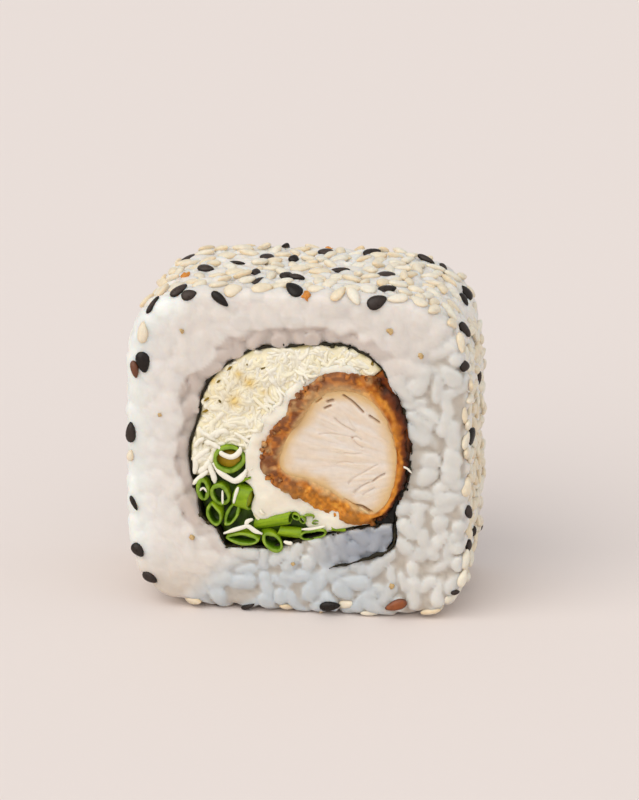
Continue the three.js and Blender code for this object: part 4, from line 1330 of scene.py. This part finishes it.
def filling_room(x, z):
    """Distance outside the room that the nori leaves for the filling."""
    return loop_gap(x, z) + NORI_THICKNESS / 2


def cream_region(x, z):
    chicken = outline_distance(x, z, chicken_line)
    chives = outline_distance(x, z, chive_line)
    region = np.maximum(outline_distance(x, z, cream_line), filling_room(x, z))
    chives = chives + 0.4 * noise(x, 0, z, 1.3, 90)
    return np.maximum(region, np.maximum(-chicken - 0.8, -chives - 0.3))


def grated_region(x, z):
    region = np.maximum(loop_gap(x, z) + GRATED_CLEAR, -outline_distance(x, z, cream_line) - 0.6)
    region = np.maximum(region, -outline_distance(x, z, chicken_line) - 0.6)
    region = np.maximum(region, -lining_side(x, z))
    return np.maximum(region, -outline_distance(x, z, chive_line) - 0.4)


def uneven_level(x, z, side, face, waves, seed):
    """How far from the middle a cut face lies that is uneven by a list of waves."""
    level = face
    for size, height in waves:
        level = level + height * noise(x, side * 9, z, size, seed)
    return level


def slab(region, face, waves, seed):
    """A block that fills a region of the cut face from end to end, its ends uneven by lists of waves."""
    x, y, z = grid_axes(FILLING_LOW, FILLING_HIGH, CHEESE_VOXEL)
    ends = [side * y - uneven_level(x, z, side, face, waves, seed) for side in (FRONT, BACK)]
    field = smooth_max(region(x, z), np.maximum(*ends), 0.6)
    return skin(field, FILLING_LOW, CHEESE_VOXEL)


def cream_arrays():
    points, triangles = slab(cream_region, CREAM_FACE, CREAM_WAVES, 91)
    x, y, z = points.T
    shade = 0.3 + 0.35 * noise(x, y, z, 2.2, 92) + 0.25 * noise(x, y, z, 0.9, 93)
    return points, triangles, blend_colours(CREAM_WHITE, CREAM_SHADE, np.clip(shade, 0, 1))


def grated_arrays():
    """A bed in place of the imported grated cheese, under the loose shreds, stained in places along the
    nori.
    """
    points, triangles = slab(grated_region, GRATED_FACE, GRATED_WAVES, 95)
    x, y, z = points.T
    shade = 0.5 + 0.5 * noise(x, y, z, 1.4, 96)
    tint = blend_colours(SHRED_YELLOW, GRATED_DEEP, np.clip(shade, 0, 1))
    edge = smoothstep(-1, -0.3, loop_gap(x, z)) * smoothstep(-0.2, 0.5, noise(x, y, z, 1.1, 100))
    return points, triangles, stained(blend_colours(tint, GRATED_OLIVE, 0.7 * edge), points)


def stained(tint, points):
    """A colour of the grated cheese with its yellow spots."""
    for x, z, reach, share in CHEESE_STAINS:
        spot = np.exp(-((points[:, 0] - x) ** 2 + (points[:, 2] - z) ** 2) / reach ** 2)
        tint = blend_colours(tint, STAIN_YELLOW, share * spot)
    return tint


def tube(path, radius, sides):
    """A round strip along a path, closed and narrowed at both ends."""
    count = len(path)
    along = unit(np.gradient(path, axis=0))
    aside = unit(np.cross(along, (0, 1, 0.01)))
    over = np.cross(aside, along)
    turns = full_turn(sides)
    along_share = np.linspace(0, 1, count)
    girth = radius * (1 + 0.2 * noise(along_share * 4, path[0, 0], path[0, 2], 1, 94))
    narrow = 0.45 + 0.55 * smoothstep(0, 0.2, np.minimum(along_share, 1 - along_share))
    girth = (girth * narrow)[:, None, None]
    ring = np.cos(turns)[:, None] * aside[:, None, :]
    ring = ring + SHREDS["flat"] * np.sin(turns)[:, None] * over[:, None, :]
    points = (path[:, None, :] + girth * ring).reshape(-1, 3)
    return np.vstack([points, path[0], path[-1]]), closed_net(count, sides)[:, ::-1]


def shred_walks(rng):
    """Random bent walks in the cut face on the grated cheese, and how far each lies on the cream."""
    steps = SHREDS["steps"]
    count = SHREDS["tries"]
    turn = rng.uniform(0, 2 * math.pi, (count, 1))
    turn = turn + rng.normal(0, 0.5, (count, 1)) * np.linspace(-1, 1, steps)
    turn = turn + np.cumsum(rng.normal(0, SHREDS["wiggle"], (count, steps)), axis=1)
    stride = rng.uniform(*SHRED_LENGTH, (count, 1)) / steps
    x = rng.uniform(*SHRED_AREA["x"], (count, 1)) + np.cumsum(np.cos(turn) * stride, axis=1)
    z = rng.uniform(*SHRED_AREA["z"], (count, 1)) + np.cumsum(np.sin(turn) * stride, axis=1)
    on_cream = -outline_distance(x, z, cream_line).min(axis=1)
    fits = filling_room(x, z).max(axis=1) < SHRED_CLEAR["nori"]
    fits &= outline_distance(x, z, chive_line).min(axis=1) > SHRED_CLEAR["chives"]
    fits &= outline_distance(x, z, chicken_line).min(axis=1) > SHRED_CLEAR["chicken"]
    fits &= lining_side(x, z).min(axis=1) > SHRED_CLEAR["lining"]
    fits &= on_cream < SHRED_CLEAR["on_cream"] * rng.uniform(size=count)
    return x[fits], z[fits], on_cream[fits]


def shred_arrays():
    """Grated strips lying this way and that on both cut faces, and clear ones across the chives."""
    heap = Heap()
    rng = np.random.default_rng(SHREDS["seed"])
    lift = np.sin(np.linspace(0, math.pi, SHREDS["steps"]))
    for side in (FRONT, BACK):
        for x, z, on_cream in itertools.islice(zip(*shred_walks(rng)), SHREDS["count"]):
            clear = smoothstep(-8, -12, x[0]) * smoothstep(30, 25, z[0])
            radius = rng.uniform(*SHRED_RADIUS) + 0.16 * clear
            level = uneven_level(x, z, side, GRATED_FACE, GRATED_WAVES, 95)
            level = level + radius * rng.uniform(-0.7, -0.05) + 0.3 * clear
            level = level + 0.35 * smoothstep(-0.5, 1.5, on_cream)
            y = side * (level + 0.12 * (lift - 0.7))
            points, triangles = tube(np.stack([x, y, z], axis=1), radius, SHREDS["sides"])
            tint = blend_colours(SHRED_WHITE, SHRED_YELLOW, rng.uniform() ** 1.6)
            heap.add(points, triangles, stained(tint, points))
        for radius, line in SHREDS_SEEN:
            route = smooth(line, False, LINE_STEPS)
            level = np.full(len(route), side * (CHIVE_FACE - 0.4 * radius))
            path = np.stack([route[:, 0], level, route[:, 1]], axis=1)
            heap.add(*tube(path, radius, 2 * SHREDS["sides"]), SHRED_WHITE)
    return heap.arrays()


# Chives

def hollow_tube(start, end, aside, half, wall, pointed, lean, seed):
    """A length of chive with an open bore: its points, triangles and colours.

    half is its half width and height, pointed how pointed it is above and below, and lean how far its
    middle lies off the line between its ends."""
    axis = end - start
    length = np.linalg.norm(axis)
    over = unit(np.cross(aside, axis))
    aside = unit(np.cross(axis, over))
    turns = full_turn(CHIVE_AROUND)
    c = np.cos(turns)
    s = np.sin(turns)
    across = c * np.abs(c) ** np.where(s > 0, *pointed)
    rough = 1 + 0.08 * noise(c * 1.3, s * 1.3, 0, 1, seed)
    thick = wall * (1 + 0.4 * noise(c * 1.5, s * 1.5, 5, 1, seed))
    shares = np.array(CHIVE_ROWS)
    shares = np.concatenate([shares, 1 - shares[-2::-1]])
    rows = []
    tints = []
    for share, is_bore in [(share, 0) for share in shares] + [(share, 1) for share in shares[::-1]]:
        inward = length * min(share, 1 - share)
        is_rim = inward < 0.001
        off = thick * (0.3 + 0.4 * is_bore if is_rim else is_bore)
        ring = ((half[0] - off) * rough * across)[:, None] * aside
        ring = ring + ((half[1] - off) * rough * s)[:, None] * over
        at_end = 1 - smoothstep(0, 1.5, inward)
        slant = CHIVE_SLANT * np.cos(turns + seed)[:, None] * at_end * axis / length
        rows.append(start + axis * share + ring + slant + lean * smoothstep(0, 3, inward))
        streak = 0.45 + 0.5 * noise(turns * 4, share * 3, 0, 1, seed + 3)
        colour = blend_colours(CHIVE_GREEN, CHIVE_DEEP, streak)
        # Painted shade: the bore is darker further in
        if is_bore:
            inside = blend_colours(CHIVE_DEEP, CHIVE_INSIDE_SHADE, smoothstep(0, 1.2, inward))
            colour = np.broadcast_to(inside, colour.shape)
        if is_rim:
            colour = blend_colours(CHIVE_RIM, CHIVE_DEEP, 0.8 * streak)
        tints.append(colour)
    return np.concatenate(rows), grid_triangles(len(rows), CHIVE_AROUND, True, True), np.concatenate(tints)


def chive_arrays():
    """Chopped chives: tubes from face to face and pieces that lie in the faces."""
    heap = Heap()
    for k, (x, z, half_width, half_height, turn, wall, pointed, lean) in enumerate(CHIVE_TUBES):
        angle = math.radians(turn)
        aside = np.array((math.cos(angle), 0, math.sin(angle)))
        ends = [np.array((x, side * (CHIVE_FACE - 0.5 * chance(k, 20)), z)) for side in (FRONT, BACK)]
        shift = np.array((lean[0], 0, lean[1]))
        heap.add(*hollow_tube(*ends, aside, (half_width, half_height), wall, pointed, shift, k))
    up = np.array((0.0, 0, 1))
    shape, triangles = seed_shape()
    for side in (FRONT, BACK):
        for k, (first, last, half_width, half_height, wall) in enumerate(CHIVE_STUBS):
            ends = [np.array((x, side * (CHIVE_FACE - depth), z)) for x, z, depth in (first, last)]
            heap.add(*hollow_tube(*ends, up, (half_width, half_height), wall, (0, 0), 0 * up, 30 + k))
            if k == CHIVE_PLUG["stub"]:
                along = unit(ends[1] - ends[0])
                over = unit(np.cross(up, along))
                share = CHIVE_PLUG["share"]
                sizes = (CHIVE_PLUG["thickness"], share * half_width, share * half_height)
                plug = shape * sizes @ np.stack([along, np.cross(along, over), over])
                heap.add(plug + ends[1] - CHIVE_PLUG["depth"] * along, triangles, CHIVE_MOIST)
    x, z, half_width, half_height = CHIVE_TUBES[0][:4]
    sizes = (OLIVE_PLUG["wide"] * half_width, OLIVE_PLUG["deep"], OLIVE_PLUG["high"] * half_height)
    plug = shape[:, [1, 0, 2]] * sizes
    x += OLIVE_PLUG["off"][0]
    z += OLIVE_PLUG["off"][1]
    rng = np.random.default_rng(SPECKS["seed"])
    for side in (FRONT, BACK):
        heap.add(plug + (x, side * (CHIVE_FACE - OLIVE_PLUG["behind"]), z), triangles, CHIVE_OLIVE)
        for speck_x, speck_z in CHIVE_SPECKS:
            speck = uneven_bit(shape, SPECKS["sizes"], rng)
            speck = speck + (speck_x, side * (GRATED_FACE + SPECKS["out"]), speck_z)
            tint = blend_colours(CHIVE_SHADE, CHIVE_OLIVE, rng.uniform(*SPECKS["shade"]))
            heap.add(speck, triangles, tint)
    return heap.arrays()


def chive_region(x, z):
    chicken = outline_distance(x, z, chicken_line)
    return np.maximum(np.maximum(outline_distance(x, z, chive_line), filling_room(x, z)), -chicken)


# A dark slab behind the chives: dark chive and painted shadow in the gaps between them
def shaded_chive_core_arrays():
    points, triangles = slab(chive_region, CHIVE_CORE_FACE, CHIVE_CORE_WAVES, 97)
    shade = 0.5 + 0.5 * noise(*points.T, 1.1, 98)
    return points, triangles, blend_colours(CHIVE_SHADE, CHIVE_DEEP, 0.5 * shade)


# Crumbs

def crumb_arrays(seeder):
    """Small bits of crust stuck to the rice, those of the shown cut face on the far one too."""
    rng = np.random.default_rng(CRUMBS_SEED)
    heap = Heap()
    for px, py, size in CRUMBS_SEEN:
        tint = blend_colours(CRUMB_PALE, CRUMB_ORANGE, smoothstep(*CRUMB_FRIED, size))
        origin, ray = pixel_ray((px, py))
        front, _, _, _ = seeder.tree.ray_cast(Vector(origin), Vector(ray))
        places = [front]
        if front.y < 1 - FACE:
            back, _, _, _ = seeder.tree.ray_cast(Vector((front.x, DEPTH, front.z)), Vector((0, -1, 0)))
            places.append(back)
        for place in places:
            seeder.places.append(np.array(place))
            heap.add(uneven_bit(seeder.shape, size, rng) + np.array(place), seeder.triangles, tint)
    return heap.arrays()


# Stage

def make_floor():
    mesh = bpy.data.meshes.new("floor")
    reach = FLOOR["reach"]
    corners = [(reach * x, reach * y, 0) for x, y in ((-1, -1), (1, -1), (1, 1), (-1, 1))]
    mesh.from_pydata(corners, [], [(0, 1, 2, 3)])
    material = bpy.data.materials.new("pale_floor")
    material.use_nodes = True
    surface = material.node_tree.nodes["Principled BSDF"]
    surface.inputs["Base Color"].default_value = (*FLOOR_PALE, 1)
    surface.inputs["Roughness"].default_value = FLOOR["roughness"]
    surface.inputs["Specular IOR Level"].default_value = FLOOR["gloss"]
    mesh.materials.append(material)
    floor = bpy.data.objects.new("floor", mesh)
    bpy.context.scene.collection.objects.link(floor)


def make_sun(name, direction, strength, spread, colour):
    """A broad soft light from a direction."""
    light = bpy.data.lights.new(name, "SUN")
    light.energy = strength
    light.angle = math.radians(spread)
    light.color = colour
    lamp = bpy.data.objects.new(name, light)
    lamp.rotation_euler = Vector(direction).to_track_quat("Z", "Y").to_euler()
    bpy.context.scene.collection.objects.link(lamp)


def make_light():
    world = bpy.data.worlds.new("studio")
    world.use_nodes = True
    background = world.node_tree.nodes["Background"]
    background.inputs["Color"].default_value = SKY["colour"]
    background.inputs["Strength"].default_value = SKY["strength"]
    bpy.context.scene.world = world
    for name, values in SUNS.items():
        make_sun(name, *values)
    bpy.context.scene.view_settings.view_transform = "Standard"


def make_camera():
    back, _, _ = camera_axes()
    data = bpy.data.cameras.new("camera")
    data.sensor_width = SENSOR
    data.lens = SENSOR * CAMERA_DISTANCE / (PHOTO_HEIGHT / PIXELS_PER_MM)
    data.shift_x = (PHOTO_WIDTH / 2 - TARGET_PIXEL[0]) / PHOTO_HEIGHT
    data.shift_y = (TARGET_PIXEL[1] - PHOTO_HEIGHT / 2) / PHOTO_HEIGHT
    data.clip_start, data.clip_end = CLIP
    camera = bpy.data.objects.new("camera", data)
    camera.location = Vector((np.array(TARGET) + back * CAMERA_DISTANCE) * MM)
    camera.rotation_euler = Vector(back).to_track_quat("Z", "Y").to_euler()
    bpy.context.scene.collection.objects.link(camera)
    bpy.context.scene.camera = camera


make_camera()
make_light()
make_floor()
looks = make_materials()

rice = rice_arrays()
make_piece("rice_grains", rice, looks["rice"], "rice")
seeder = Seeder(rice)
for kind, spots in SEEDS_SEEN.items():
    seeder.lay_seen(kind, spots, FIRST_SEEN[kind])
make_piece("crust_crumbs", crumb_arrays(seeder), looks["crumb"])
seeder.lay_spread()
for kind, seeds in seeder.heaps.items():
    make_piece("sesame_" + kind, seeds.arrays(), looks["sesame_" + kind])
make_piece("nori_sheet", nori_arrays(), looks["nori"], "nori")
make_piece("chicken_crust", crust_arrays(), looks["crust"], "chicken")
make_piece("chicken_meat", meat_arrays(), looks["meat"])
make_piece("cream_layer", cream_arrays(), looks["cream"], "cream_cheese")
make_piece("grated_bed", grated_arrays(), looks["grated"], "grated_cheese")
make_piece("cheese_shreds", shred_arrays(), looks["grated"])
make_piece("chive_pieces", chive_arrays(), looks["chives"], "chives")
# Dark chive and painted shadow behind the chive tubes
make_piece("chive_core_shade", shaded_chive_core_arrays(), looks["chives"])
